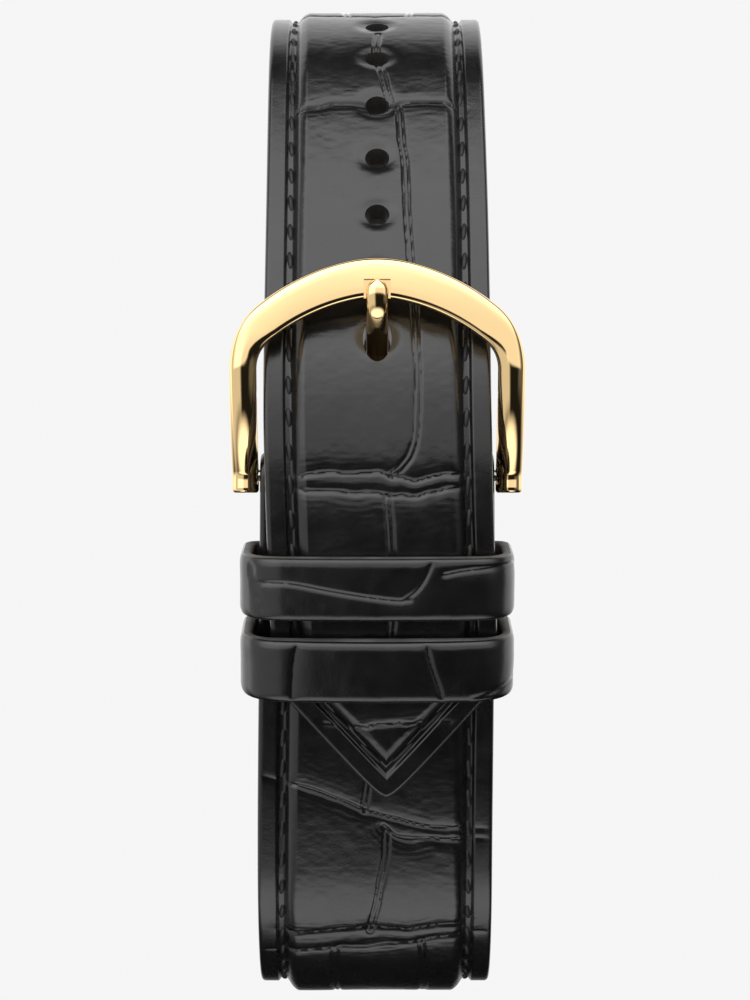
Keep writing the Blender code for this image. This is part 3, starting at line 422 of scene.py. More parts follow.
def dial_material():
    """Champagne sunray, a fan of fine rays about the dial's centre, with gilt markers standing above it."""
    mat, shader = new_material("champagne_dial", (0.80, 0.72, 0.56), 0.34, 0.75)
    coords = add_node(mat, "ShaderNodeTexCoord")
    mapping = add_node(mat, "ShaderNodeMapping", Location=(0.0, 0.0, -CASE_Z * MM))
    link(mat, coords.outputs["Object"], mapping.inputs["Vector"])
    split = add_node(mat, "ShaderNodeSeparateXYZ")
    link(mat, mapping.outputs["Vector"], split.inputs["Vector"])
    angle = add_node(mat, "ShaderNodeMath", operation="ARCTAN2")
    link(mat, split.outputs["Z"], angle.inputs[0])
    link(mat, split.outputs["X"], angle.inputs[1])
    rays = add_node(mat, "ShaderNodeTexNoise", noise_dimensions="1D", Scale=60.0, Detail=4.0)
    link(mat, angle.outputs["Value"], rays.inputs["W"])
    above = add_node(mat, "ShaderNodeMath", operation="GREATER_THAN")
    above.inputs[1].default_value = DIAL_FACE_Y * MM
    link(mat, split.outputs["Y"], above.inputs[0])
    champagne = ramp(mat, rays.outputs["Fac"], [(0.25, (0.70, 0.61, 0.45)), (0.75, (0.90, 0.83, 0.68))])
    mix = add_node(mat, "ShaderNodeMix", data_type="RGBA")
    link(mat, above.outputs["Value"], mix.inputs["Factor"])
    link(mat, champagne, mix.inputs["A"])
    mix.inputs["B"].default_value = (0.86, 0.50, 0.15, 1)
    link(mat, mix.outputs["Result"], shader.inputs["Base Color"])
    link(mat, ramp(mat, rays.outputs["Fac"], [(0.25, 0.26), (0.75, 0.42)]), shader.inputs["Roughness"])
    bump(mat, shader, rays.outputs["Fac"], 0.15, 0.00004)
    return mat


def glass_material():
    mat, shader = new_material("crystal_glass", (0.97, 0.98, 0.98), 0.0, 0.0)
    shader.inputs["Transmission Weight"].default_value = 1.0
    shader.inputs["IOR"].default_value = 1.5
    link(mat, ramp(mat, noise_node(mat, object_coords(mat), 300.0, 2.0), [(0.4, 0.0), (0.9, 0.012)]),
         shader.inputs["Roughness"])
    return mat


def moulded(name, color, roughness):
    mat, shader = new_material(name, color, roughness)
    vector = object_coords(mat)
    link(mat, ramp(mat, noise_node(mat, vector, 900.0, 4.0),
                   [(0.3, tuple(0.85 * c for c in color)), (0.7, color)]), shader.inputs["Base Color"])
    bump(mat, shader, noise_node(mat, vector, 3000.0, 3.0), 0.15, 0.00003)
    return mat


GOLD = polished_metal("polished_gold", (0.93, 0.70, 0.33), 0.09)
BUCKLE_GOLD = polished_metal("buckle_gold", (1.0, 0.72, 0.36), 0.06)
STEEL = polished_metal("turned_steel", (0.60, 0.60, 0.62), 0.22)
BRASS = polished_metal("brushed_brass", (0.75, 0.58, 0.30), 0.28, 0.15, (1, 8, 1))
COPPER = polished_metal("copper_wire", (0.72, 0.33, 0.16), 0.32, 0.3, (1, 1, 14))
LEATHER = croc_leather()
LINING_LEATHER = plain_leather("lining_leather", (0.030, 0.022, 0.017), (0.062, 0.046, 0.036), 0.55)
CUT_EDGE = plain_leather("painted_edge", (0.018, 0.017, 0.017), (0.035, 0.033, 0.032), 0.42)
RAW_EDGE = plain_leather("raw_keeper_edge", (0.035, 0.033, 0.031), (0.11, 0.104, 0.098), 0.6)
THREAD = thread_material()
DIAL = dial_material()
GLASS = glass_material()
RUBBER = moulded("black_rubber", (0.02, 0.02, 0.02), 0.6)
NYLON = moulded("white_nylon", (0.80, 0.80, 0.77), 0.45)
CIRCUIT = moulded("circuit_green", (0.04, 0.17, 0.08), 0.35)


# ---------------------------------------------------------------- straps

# Embossing, as (distance along, place across) in millimetres: rows run across the strap, lines along it.
HOLE_ROWS = [
    [(5.4, -4.2), (5.2, -1.4), (5.7, 1.2), (5.5, 4.4)],
    [(51.2, -6.0), (51.5, -3.0), (51.4, -0.6), (50.8, 0.3), (51.4, 1.4), (51.6, 3.8), (51.2, 6.2)],
    [(22.7, -6.0), (23.0, -2.6), (22.6, 1.2), (22.5, 6.0)],
    [(21.8, -6.0), (21.5, -1.0), (21.3, 1.4), (21.7, 6.0)],
    [(9.0, -6.0), (8.9, -3.2), (8.5, 0.2), (7.9, 2.6), (8.0, 6.0)],
    [(64.3, -6.2), (63.7, -1.4), (64.5, 6.2)],
    [(78.1, -6.4), (77.3, -1.0), (77.7, 2.0), (78.5, 6.6)],
    [(90.7, -6.6), (90.9, -2.0), (90.3, 2.4), (91.1, 6.8)],
]
HOLE_LINES = [
    [(51.1, 1.6), (44.9, 1.95), (38.7, 2.2), (32.9, 2.7), (27.9, 2.7), (24.5, 2.4), (23.3, 1.6), (22.8, 0.9)],
    [(59.3, 0.2), (56.3, 0.0), (53.7, 0.5), (51.5, 1.0)],
    [(21.1, 0.6), (17.9, 0.7), (12.3, 0.6), (9.3, -0.1)],
    [(63.9, -2.0), (70.3, -2.7), (77.3, -2.2)],
    [(64.1, 2.4), (70.3, 2.9), (77.7, 2.3)],
    [(77.5, 0.4), (84.3, -0.2), (90.7, 0.4)],
    [(90.7, -3.0), (97.3, -2.6), (103.3, -3.2)],
    [(90.5, 2.6), (96.3, 2.2), (103.3, 2.8)],
]
BUCKLE_ROWS = [
    [(20.9, -8.6), (21.7, -6.7), (22.4, -4.1), (23.4, -1.9), (24.5, 0.5), (25.1, 2.8), (25.6, 8.6)],
    [(25.4, 0.6), (26.0, 1.2), (26.2, 3.5), (26.3, 8.6)],
    [(34.3, -7.0), (34.1, -1.0), (33.5, 6.8)],
    [(37.0, -8.4), (36.7, -6.9), (36.0, -1.5), (34.8, 5.6), (34.5, 8.4)],
    [(51.4, -7.0), (51.2, -2.4), (50.8, 3.0), (51.6, 7.0)],
    [(64.2, -7.2), (64.0, 0.8), (63.6, 7.2)],
    [(10.6, -6.8), (11.2, 0.0), (10.4, 6.8)],
]
BUCKLE_LINES = [
    [(25.6, 0.8), (27.4, 0.7), (30.0, 0.4), (34.1, -0.3)],
    [(36.4, -2.9), (42.0, -3.1), (51.2, -2.4)],
    [(35.4, 3.4), (44.0, 3.8), (51.0, 3.0)],
    [(51.0, 0.4), (57.0, 0.0), (64.0, 0.8)],
    [(11.2, 0.4), (17.0, 0.2), (23.8, -0.8)],
]
FLANGE = 1.25
PAD_EDGE = 2.1
TOP_INSETS = np.concatenate([[0.0, 0.04, 0.1, 0.18, 0.28, 0.4, 0.6, 0.8, 1.0], np.arange(1.12, 3.1, 0.08)])
PAD_STEP = 0.075
STATION_STEP = 0.13


class HoleStrap:
    """The long strap with the holes, measured from its pointed end."""
    name = "hole_strap"
    rows = HOLE_ROWS
    lines = HOLE_LINES

    def __init__(self):
        self.line, self.length = hole_strap_line()
        self.lead = 0.0

    def thickness(self, s):
        lug = smooth(s, self.length - 42.0, self.length - 6.0)
        return HOLE_STRAP_THICKNESS + (LUG_THICKNESS - HOLE_STRAP_THICKNESS) * lug

    def half_width(self, s):
        half = HOLE_STRAP_WIDTH / 2
        half = half + (LUG_STRAP_WIDTH - HOLE_STRAP_WIDTH) / 2 * smooth(s, self.length - 45.0, self.length)
        point = np.sqrt((0.87 * s) ** 2 + 1.1 * np.maximum(s, 0.0))
        # a soft minimum, so that the point runs into the straight edges without a corner
        sharp = 3.0
        both = np.exp(-sharp * half) + np.exp(-sharp * np.minimum(point, 30.0))
        return np.maximum(0.05, -np.log(both) / sharp)

    def flat(self, s):
        return smooth(s, self.length - 4.5, self.length - 0.5)

    def drop(self, s):
        thin = 0.5 + 0.5 * smooth(s, self.length - 42.0, self.length - 12.0)
        return thin * (0.6 + 0.4 * smooth(s, 0.0, POINT_LENGTH)) * (1 - self.flat(s))

    def sway(self, s):
        """The point lies a little to one side under the keepers."""
        return 0.62 * (1 - smooth(s, 2.0, 30.0)) - 0.10 * smooth(s, 40.0, 62.0)


class BuckleStrap:
    """The short strap, measured from its turned-back end; lead is the turn before the outer face."""
    name = "buckle_strap"
    rows = BUCKLE_ROWS
    lines = BUCKLE_LINES

    def __init__(self):
        self.line, self.length = buckle_strap_line()
        self.lead = TURN_RETURN + math.pi * BUCKLE_TURN_RADIUS

    def thickness(self, s):
        lug = smooth(s - self.lead, FRONT_LENGTH, self.length - 6.0)
        return BUCKLE_STRAP_THICKNESS + (LUG_THICKNESS - BUCKLE_STRAP_THICKNESS) * lug

    def half_width(self, s):
        part = np.clip((s - self.lead) / self.length, 0.0, 1.0)
        return (BUCKLE_STRAP_WIDTH + (LUG_STRAP_WIDTH - BUCKLE_STRAP_WIDTH) * part) / 2

    def flat(self, s):
        s = s - self.lead
        return np.maximum(smooth(s, self.length - 4.5, self.length - 0.5), 1 - smooth(s, 0.5, 4.0))

    def drop(self, s):
        s = s - self.lead
        thin = 0.45 + 0.55 * smooth(s, 30.0, self.length - 12.0)
        return thin * smooth(s, 6.0, 16.0) * (1 - self.flat(s + self.lead))

    def sway(self, s):
        return -0.16 * smooth(s - self.lead, 4.0, 30.0)


def edge_distance(strap, s, x):
    """Distance from the strap's edge, also where the edges run together at the point."""
    slope = (strap.half_width(s + 0.05) - strap.half_width(s - 0.05)) / 0.1
    return (strap.half_width(s) - np.abs(x)) / np.sqrt(1 + slope ** 2)


def top_height(strap, s, x):
    """Depth below the padded middle, before the embossing: flat flange, stitched channel, the pad's wall."""
    inset = edge_distance(strap, s, x)
    wall = 1 - smooth(inset, PAD_EDGE - 0.25, PAD_EDGE + 0.75) ** 0.8
    channel = 0.26 * smooth(inset, FLANGE, FLANGE + 0.28)
    channel = channel * (1 - smooth(inset, STITCH_INSET + 0.05, PAD_EDGE + 0.25))
    lip = 0.30 * (1 - np.sqrt(1 - np.clip(1 - inset / 0.30, 0, 1) ** 2))
    return strap.drop(s) * wall + channel * (1 - strap.flat(s)) + lip


def hole_dents(strap, s, x):
    """The leather dips towards each punched hole."""
    dent = np.zeros(s.shape)
    if isinstance(strap, HoleStrap):
        for i in range(HOLE_COUNT):
            along = (s - TIP_BELOW_BAR - CREST[0] - HOLE_PITCH * i) / 1.15
            dent = np.maximum(dent, 0.22 * np.exp(-((along ** 2 + (x / 1.35) ** 2) ** 2)))
    return dent


def columns_across(half):
    """Signed shares of the half width, dense over the flange, the channel and the pad's wall."""
    pad = np.linspace(half - TOP_INSETS[-1], 0, int((half - TOP_INSETS[-1]) / PAD_STEP) + 1)[1:]
    right = np.concatenate([half - TOP_INSETS, pad]) / half
    return np.concatenate([-right, right[-2::-1]])


def strap_upper(strap):
    """The embossed leather, its painted edges and its turns round the spring bars, as one skin."""
    total = strap.line.length
    s = np.linspace(0.02, total, int(total / STATION_STEP))
    nominal = 0.5 * (HOLE_STRAP_WIDTH if isinstance(strap, HoleStrap) else BUCKLE_STRAP_WIDTH)
    u = columns_across(nominal)
    grid_s, grid_u = np.meshgrid(s, u, indexing="ij")
    x = grid_u * strap.half_width(grid_s)
    inset = edge_distance(strap, grid_s, x)
    emboss = scales(grid_s - strap.lead, x, strap.rows, strap.lines)
    faint = 0.35 + 0.65 * smooth(inset, PAD_EDGE, PAD_EDGE + 0.4)
    in_channel = smooth(inset, FLANGE, FLANGE + 0.3) * (1 - smooth(inset, 1.9, PAD_EDGE))
    shown = smooth(inset, 0.15, 0.7) * (1 - in_channel)
    emboss = (emboss * faint * shown + hole_dents(strap, grid_s, x)) * (1 - strap.flat(grid_s))
    top = top_height(strap, grid_s, x) + emboss
    flat = strap.flat(s)
    floor = flat * UPPER_LEATHER + (1 - flat) * (strap.thickness(s) - LINING - 0.04)
    edge = strap.half_width(s)
    side = []
    for share, inward in ((1.0, 0.35), (1.0, 0.7), (0.997, 0.92), (0.985, 1.0), (0.6, 1.0), (0.0, 1.0)):
        side.append((share * edge, top[:, -1] + (floor - top[:, -1]) * inward))
    across = [x] + [c[0][:, None] for c in side] + [-c[0][:, None] for c in side[-2::-1]]
    depth = [top] + [c[1][:, None] for c in side] + [c[1][:, None] for c in side[-2::-1]]
    across, depth = np.concatenate(across, 1), np.concatenate(depth, 1)
    across = across + strap.sway(s)[:, None]
    columns = across.shape[1]
    along = np.repeat(s[:, None], columns, 1)
    points = in_loop(strap.line, along, across, depth)
    ob = mesh_object(strap.name + "_leather", points, skin_faces(len(s), columns), [LEATHER, CUT_EDGE], 60.0)
    first = np.zeros(len(ob.data.polygons), int)
    ob.data.polygons.foreach_get("loop_start", first)
    loops = np.zeros(len(ob.data.loops), int)
    ob.data.loops.foreach_get("vertex_index", loops)
    corners = loops[first[:, None] + np.arange(4)[None, :]] % columns
    index = (corners.max(1) >= len(u) + 1) | (corners.min(1) >= len(u) - 1)
    ob.data.polygons.foreach_set("material_index", index.astype(int))
    return ob


def strap_lining(strap, first, last):
    """The smooth leather against the skin, with softly rounded edges."""
    s = np.arange(first, last, 0.6)
    outline = [(0.0, 0.0), (0.55, 0.0), (0.97, 0.02), (0.995, 0.16), (1.0, 0.4), (0.995, 0.75), (0.97, 0.97),
               (0.8, 1.0), (0.4, 1.0), (0.0, 1.0)]
    shares = np.array([p[0] for p in outline] + [-p[0] for p in outline[-2:0:-1]])
    depths = np.array([p[1] for p in outline] + [p[1] for p in outline[-2:0:-1]])
    half = strap.half_width(s)[:, None] - 0.06
    across = shares[None, :] * half
    ripple = 0.02 * value_noise(s[:, None] + 0 * across, across, 3.0, 31)
    depth = strap.thickness(s)[:, None] - LINING + depths[None, :] * (LINING - 0.02) + ripple * (depths > 0.5)
    along = np.repeat(s[:, None], across.shape[1], 1)
    across = across + strap.sway(s)[:, None]
    return mesh_object(strap.name + "_lining_skin", in_loop(strap.line, along, across, depth),
                       skin_faces(len(s), across.shape[1]), [LINING_LEATHER], 50.0)


def hole_cutter(strap, s, across, along):
    """An upright oval rod through the strap."""
    (point,), (heading,) = strap.line.at([s])
    inward = strap.line.inward(heading)
    forward = np.array([math.sin(math.radians(heading)), math.cos(math.radians(heading))])
    bm = bmesh.new()
    bmesh.ops.create_cone(bm, cap_ends=True, segments=32, radius1=1.0, radius2=1.0, depth=9.0)
    for v in bm.verts:
        a, b, c = v.co.x * across, v.co.y * along, v.co.z + 2.0
        place = point + b * forward + c * inward
        v.co = Vector((a, FRONT_Y + place[0], place[1])) * MM
    bmesh.ops.recalc_face_normals(bm, faces=bm.faces)
    return bm


def punch_holes(strap, *obs):
    for ob in obs:
        merged = bmesh.new()
        for i in range(HOLE_COUNT):
            size = TONGUE_HOLE if i == 0 else (HOLE_RADIUS, HOLE_RADIUS)
            bm = hole_cutter(strap, TIP_BELOW_BAR + CREST[0] + HOLE_PITCH * i, *size)
            mesh = bpy.data.meshes.new("rod")
            bm.to_mesh(mesh)
            bm.free()
            merged.from_mesh(mesh)
            bpy.data.meshes.remove(mesh)
        cutter = loose(merged)
        cutter.data.materials.append(CUT_EDGE)
        carve(ob, cutter)
        ob.data.set_sharp_from_angle(angle=math.radians(50))


def stitch_row(name, strap, first, last, side):
    """Lock stitches slanting in their channel, each a plump lozenge of thread that dips at its ends."""
    points = []
    faces = []
    rings, sides = 11, 8
    around = 2 * np.pi * np.arange(sides) / sides
    for number, s in enumerate(np.arange(first, last, STITCH_PITCH)):
        mids = np.array([s - STITCH_HALF, s, s + STITCH_HALF])
        slope = (strap.half_width(mids + 0.05) - strap.half_width(mids - 0.05)) / 0.1
        centre = strap.half_width(mids) - STITCH_INSET * np.sqrt(1 + slope ** 2)
        if centre[1] < 0.25:
            continue
        base = len(points)
        uneven = 0.04 * math.sin(2.7 * number + side)
        for r in range(rings):
            t = -1 + 2 * r / (rings - 1)
            spot = s + STITCH_HALF * t + uneven
            x = side * (np.interp(spot, mids, centre) + 0.07 * t)
            fat = 0.17 * math.sqrt(max(0.02, 1 - abs(t) ** 3))
            floor = float(top_height(strap, np.array([spot]), np.array([x]))[0])
            lift = floor - 0.02 + 0.24 * abs(t) ** 3
            ring_x = x + float(strap.sway(spot)) + fat * np.cos(around)
            ring_h = lift - 0.9 * fat * np.sin(around)
            points += list(in_loop(strap.line, np.full(sides, spot), ring_x, ring_h))
        faces += [tuple(base + i for i in face) for face in skin_faces(rings, sides)]
    return mesh_object(name, points, faces, [THREAD], 80.0)


def finish_strap(strap, upper, lining, stitches_start, stitches_end):
    """Puts the two skins and both rows of stitches in place of the strap's plain solids."""
    name = strap.name
    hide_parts(f"{name}_upper", f"{name}_padding")
    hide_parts(f"{name}_lining")
    finish_piece(upper, "watch")
    finish_piece(lining, "watch")
    for side, word in ((-1, "left"), (1, "right")):
        row = stitch_row(f"{name}_stitches_{word}", strap, stitches_start, stitches_end, side)
        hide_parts(f"{name}_thread_{word}")
        finish_piece(row, "watch")


def build_straps():
    hole, buckle = HoleStrap(), BuckleStrap()
    last = hole.length - TURN_RETURN - 0.7
    upper, lining = strap_upper(hole), strap_lining(hole, 0.9, last)
    punch_holes(hole, upper, lining)
    finish_strap(hole, upper, lining, 3.2, last - 2.0)
    first = buckle.lead + TURN_RETURN + 1.0
    last = buckle.lead + buckle.length - TURN_RETURN - 0.7
    upper, lining = strap_upper(buckle), strap_lining(buckle, first, last)
    carve(upper, tongue_slot())
    finish_strap(buckle, upper, lining, buckle.lead + 4.5, last - 2.0)
    return hole, buckle


def tongue_slot():
    """The cutter that opens the strap's turned end round the tongue."""
    low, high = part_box("buckle_tongue")
    half = (high.x - low.x) / 2 + 0.35 * MM
    bm = bmesh.new()
    bmesh.ops.create_cube(bm, size=1.0)
    bmesh.ops.scale(bm, vec=(2 * half, 6 * MM, 6 * MM), verts=bm.verts)
    centre = Vector((0, FRONT_Y + BUCKLE_BAR[0], BUCKLE_BAR[1] + 0.6)) * MM
    bmesh.ops.translate(bm, vec=centre, verts=bm.verts)
    return loose(bm)


def finish_piece(ob, body):
    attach(ob, body)


# ---------------------------------------------------------------- keepers

KEEPER_HALF = (8.5, 9.35)
KEEPER_WALLS = (-3.15, 3.05, 0.9)
KEEPER_WIDTH = 4.2
KEEPER_STARTS = {"fixed_keeper": 4.9, "free_keeper": 10.3}
KEEPER_CROWNS = {"fixed_keeper": 0.5, "free_keeper": 0.8}
KEEPER_CREASES = {
    "fixed_keeper": [[(-8.1, 1.7), (-6.0, 1.6), (-3.0, 2.2), (1.2, 2.8), (2.2, 2.7)],
                     [(1.6, 2.8), (2.6, 2.2), (3.3, 1.2), (3.8, -0.2)],
                     [(4.5, 1.1), (6.0, 0.8), (9.4, 0.6)], [(-8.7, -0.2), (-8.4, 1.6), (-7.6, 3.6)]],
    "free_keeper": [[(3.2, -0.3), (3.6, 1.6), (4.3, 3.4), (4.4, 4.4)],
                    [(-5.3, -0.3), (-5.7, 1.6), (-5.8, 4.4)], [(6.4, 3.9), (9.4, 3.1)]],
}


def band_outline(half, front, back, corner, crown_height, small, count=60):
    """Points round a band's closed section, from the front face's middle, as across and depth."""
    path = []
    arcs = 14
    front_half = half - corner
    for i in range(count):
        x = front_half * i / count
        path.append((x, front - crown_height * (1 - (x / half) ** 2)))
    drop = crown_height * (1 - (front_half / half) ** 2)
    for i in range(arcs + 1):
        a = math.pi / 2 * i / arcs
        depth = front - drop * (1 - i / arcs) + corner * (1 - math.cos(a))
        path.append((front_half + corner * math.sin(a), depth))
    for i in range(1, 6):
        path.append((half, front + corner + (back - small - front - corner) * i / 6))
    for i in range(arcs // 2 + 1):
        a = math.pi / 2 * i / (arcs // 2)
        path.append((half - small + small * math.cos(a), back - small + small * math.sin(a)))
    for i in range(1, count // 2):
        path.append(((half - small) * (1 - i / (count // 2)), back))
    path.append((0.0, back))
    return np.array(path + [(-x, d) for x, d in path[-2:0:-1]])


def keeper_band(name, line, lead, start, crown):
    """A leather band round both straps: padded front, glossy leather outside, paler cut rims."""
    inner_half = KEEPER_HALF[0] - 0.02
    front, back, wall = KEEPER_WALLS
    outer = band_outline(KEEPER_HALF[1], front - wall - 0.02, back + wall - 0.03, 2.9, crown, 1.0)
    inner = band_outline(inner_half, front + 0.02, back + 0.02, 1.5, 0.25, 0.35)
    rows = len(outer)
    inner = resample(inner, outer)
    section = rim_section()
    s0 = lead + start
    across, depth, along = [], [], []
    for share, place in section:
        width = s0 + KEEPER_WIDTH / 2 + place * KEEPER_WIDTH / 2
        ring = inner + (outer - inner) * share
        across.append(ring[:, 0])
        depth.append(ring[:, 1])
        along.append(np.full(rows, width))
    across, depth, along = (np.array(a).T for a in (across, depth, along))
    shares = np.array([p[0] for p in section])[None, :]
    rounding = np.array([p[1] for p in section])[None, :]
    facing = np.clip((shares - 0.6) / 0.4, 0, 1) * (depth < -0.5)
    local = along - s0
    creases = [[(b, a) for a, b in c] for c in KEEPER_CREASES[name]]
    groove = polyline_distance(local, across, [rounded(c, 3) for c in creases])
    ripple = value_noise(local, across, 0.9, 9) + 0.6 * value_noise(local, across, 2.6, 10)
    emboss = 0.11 * np.exp(-(groove / 0.13) ** 2) + 0.06 * np.exp(-(groove / 0.5) ** 1.4) + 0.012 * ripple
    soft = smooth(1 - np.abs(rounding), 0.02, 0.30)
    normal = outer_normals(outer)
    amount = (emboss * soft * facing)[:, :, None] * normal[:, None, :]
    across = across - amount[:, :, 0]
    depth = depth - amount[:, :, 1]
    points = in_loop(line, along, across, depth)
    columns = len(section)
    ob = mesh_object(name + "_band", points, skin_faces(rows, columns, False, True),
                     [LEATHER, RAW_EDGE, LINING_LEATHER], 50.0)
    index = np.zeros(len(ob.data.polygons), int)
    for polygon in ob.data.polygons:
        places = sorted({v % columns for v in polygon.vertices})
        share = min(section[p][0] for p in places)
        top = max(section[p][0] for p in places)
        index[polygon.index] = 2 if top < 0.10 else 1 if share < 0.66 else 0
    ob.data.polygons.foreach_set("material_index", index)
    return ob


def rim_section():
    """The wall's own section, as (share from inside to outside, place across the width), with a raw rim."""
    face = np.linspace(-0.66, 0.66, 33)
    outside = [(1.0, p) for p in face]
    angles = np.linspace(0.15, math.pi / 2, 9)
    turn = [(1 - 0.30 * (1 - math.cos(a)), 0.66 + 0.31 * math.sin(a)) for a in angles]
    rim = [(0.62, 0.985), (0.5, 1.0), (0.3, 1.0), (0.12, 0.985), (0.03, 0.95)]
    inside = [(0.0, p) for p in np.linspace(0.85, -0.85, 7)]
    edge = turn + rim
    return outside + edge + inside + [(share, -place) for share, place in edge[::-1]]


def resample(path, like):
    """Points of path at the same shares of its length as the points of like."""
    def shares(points):
        steps = np.linalg.norm(np.diff(np.vstack([points, points[:1]]), axis=0), axis=1)
        total = np.concatenate([[0], np.cumsum(steps)])
        return total / total[-1]
    closed = np.vstack([path, path[:1]])
    have, want = shares(path), shares(like)[:-1]
    return np.stack([np.interp(want, have, closed[:, k]) for k in range(2)], 1)


def outer_normals(path):
    step = np.roll(path, -1, 0) - np.roll(path, 1, 0)
    normal = np.stack([step[:, 1], -step[:, 0]], 1)
    return normal / np.linalg.norm(normal, axis=1)[:, None]


def build_keepers(buckle):
    for name, body in (("fixed_keeper", "watch"), ("free_keeper", "free_keeper")):
        band = keeper_band(name, buckle.line, buckle.lead, KEEPER_STARTS[name], KEEPER_CROWNS[name])
        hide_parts(name)
        finish_piece(band, body)


# ---------------------------------------------------------------- buckle

FRAME_HALF = 9.05
FRAME_PEAK = 14.93
FRAME_RADII = (4.0, 14.0, 8.0)  # of the shoulder, the flank and the crown of the arch
FRAME_CROWN_TURN = 12.0  # degrees that each half of the crown turns
FRAME_ARM_WIDTH = 1.85
FRAME_ARCH_WIDTH = 2.7
FRAME_FOOT = 0.5
FRAME_FRONT_DEPTH = 0.95
FRAME_RISE = 8.2
ARCH_TILT = 0.15  # how far the arch leans back towards its outer edge
FRAME_SIDES = 44
BAR_TIP_HOLE = 0.48  # radius of the hole in each arm for the spring bar's tip
TONGUE_WIDTH = 1.5
TONGUE_THICKNESS = 1.0
TONGUE_SIDES = 24
TONGUE_EYE = (0.74, 1.30)  # inner and outer radius of the eye round the spring bar


def frame_depth(height):
    part = np.clip(1 - (height - BUCKLE_BAR[1]) / FRAME_RISE, 0, 1)
    return FRAME_FRONT_DEPTH + (BUCKLE_BAR[0] - FRAME_FRONT_DEPTH) * part ** 2


def cushion(width, thickness, sides=28, flat=0.0):
    """A cushion section, rounder or flatter in front, as (outward, forward) pairs."""
    points = []
    for k in range(sides):
        a = 2 * math.pi * k / sides
        x = math.copysign(abs(math.cos(a)) ** (0.95 - 0.47 * flat), math.cos(a)) * width / 2
        y = math.copysign(abs(math.sin(a)) ** (0.95 - 0.63 * flat), math.sin(a)) * thickness / 2
        points.append((x, y if y > 0 else 0.92 * y))
    return points


def buckle_frame_line():
    """The frame's middle: straight arms, round shoulders, flatter flanks and a slightly pointed crown."""
    shoulder, flank, crown = FRAME_RADII
    reach = math.sin(math.radians(FRAME_CROWN_TURN))
    turn = math.acos((FRAME_HALF - shoulder + (flank - crown) * reach) / (flank - shoulder))
    rise = shoulder * math.sin(turn) + flank * (math.cos(math.radians(FRAME_CROWN_TURN)) - math.sin(turn))
    arm = FRAME_PEAK - FRAME_FOOT - rise - crown * (1 - math.cos(math.radians(FRAME_CROWN_TURN)))
    side = [(shoulder, math.degrees(turn)), (flank, 90 - FRAME_CROWN_TURN - math.degrees(turn))]
    bends = [(radius * math.radians(degrees), degrees)
             for radius, degrees in side + [(crown, 2 * FRAME_CROWN_TURN)] + side[::-1]]
    return Line((-FRAME_HALF, FRAME_FOOT), 0.0, [(arm, 0)] + bends + [(arm, 0)])


def buckle_frame_piece():
    line = buckle_frame_line()
    ends = [0.0, 0.03, 0.10, 0.2]
    stations = ends + list(np.arange(0.35, line.length - 0.2, 0.22)) + [line.length - e for e in ends[::-1]]
    places, headings = line.at(stations)
    points = []
    for s, place, heading in zip(stations, places, headings):
        out = -line.inward(heading)
        inset = min(s, line.length - s)
        shrink = 1 - 0.16 * (1 - min(inset / 0.2, 1.0)) ** 2
        width = FRAME_ARM_WIDTH + (FRAME_ARCH_WIDTH - FRAME_ARM_WIDTH) * math.sin(math.radians(heading)) ** 2
        slope = float(np.clip(1 - (place[1] - BUCKLE_BAR[1]) / FRAME_RISE, 0, 1))
        thick = 1.6 + 0.8 * slope
        flat = smooth(out[1], 0.1, 0.7)
        for a, b in cushion(width * shrink, thick * shrink, FRAME_SIDES, flat):
            spot = place + out * a
            b -= a * out[1] * ARCH_TILT
            points.append((spot[0] * MM, (FRONT_Y + float(frame_depth(spot[1])) - b) * MM, spot[1] * MM))
    faces = skin_faces(len(stations), FRAME_SIDES)
    ob = mesh_object("buckle_frame_polished", points, faces, [BUCKLE_GOLD], 50.0)
    carve(ob, block((TONGUE_WIDTH + 0.30, 1.3, 2.0), (0, 0.0, FRAME_PEAK - 1.12)))
    for side in (-1, 1):
        carve(ob, bar_rod(BAR_TIP_HOLE, side * (FRAME_HALF - 2.0), side * (FRAME_HALF + 0.45)))
    soften(ob, 0.10, 3)
    return ob


def block(size, centre):
    bm = bmesh.new()
    bmesh.ops.create_cube(bm, size=1.0)
    bmesh.ops.scale(bm, vec=Vector(size) * MM, verts=bm.verts)
    bmesh.ops.translate(bm, vec=Vector((centre[0], FRONT_Y + centre[1], centre[2])) * MM, verts=bm.verts)
    return loose(bm)


def bar_rod(radius, x0, x1):
    bm = bmesh.new()
    bmesh.ops.create_cone(bm, cap_ends=True, segments=32, radius1=radius, radius2=radius, depth=abs(x1 - x0))
    bmesh.ops.rotate(bm, matrix=Matrix.Rotation(math.pi / 2, 3, "Y"), verts=bm.verts)
    for v in bm.verts:
        v.co = (v.co + Vector(((x0 + x1) / 2, FRONT_Y + BUCKLE_BAR[0], BUCKLE_BAR[1]))) * MM
    return loose(bm)


def loose(bm):
    """A cutter made of the bmesh, which is freed."""
    mesh = bpy.data.meshes.new("cutter")
    bm.to_mesh(mesh)
    bm.free()
    ob = bpy.data.objects.new("cutter", mesh)
    bpy.context.scene.collection.objects.link(ob)
    return ob


def soften(ob, width, segments):
    """A fine bevel on the sharp edges left by cuts."""
    mod = ob.modifiers.new("soft edges", "BEVEL")
    mod.width = width * MM
    mod.segments = segments
    mod.limit_method = "ANGLE"
    mod.angle_limit = math.radians(48)
    mod.harden_normals = True


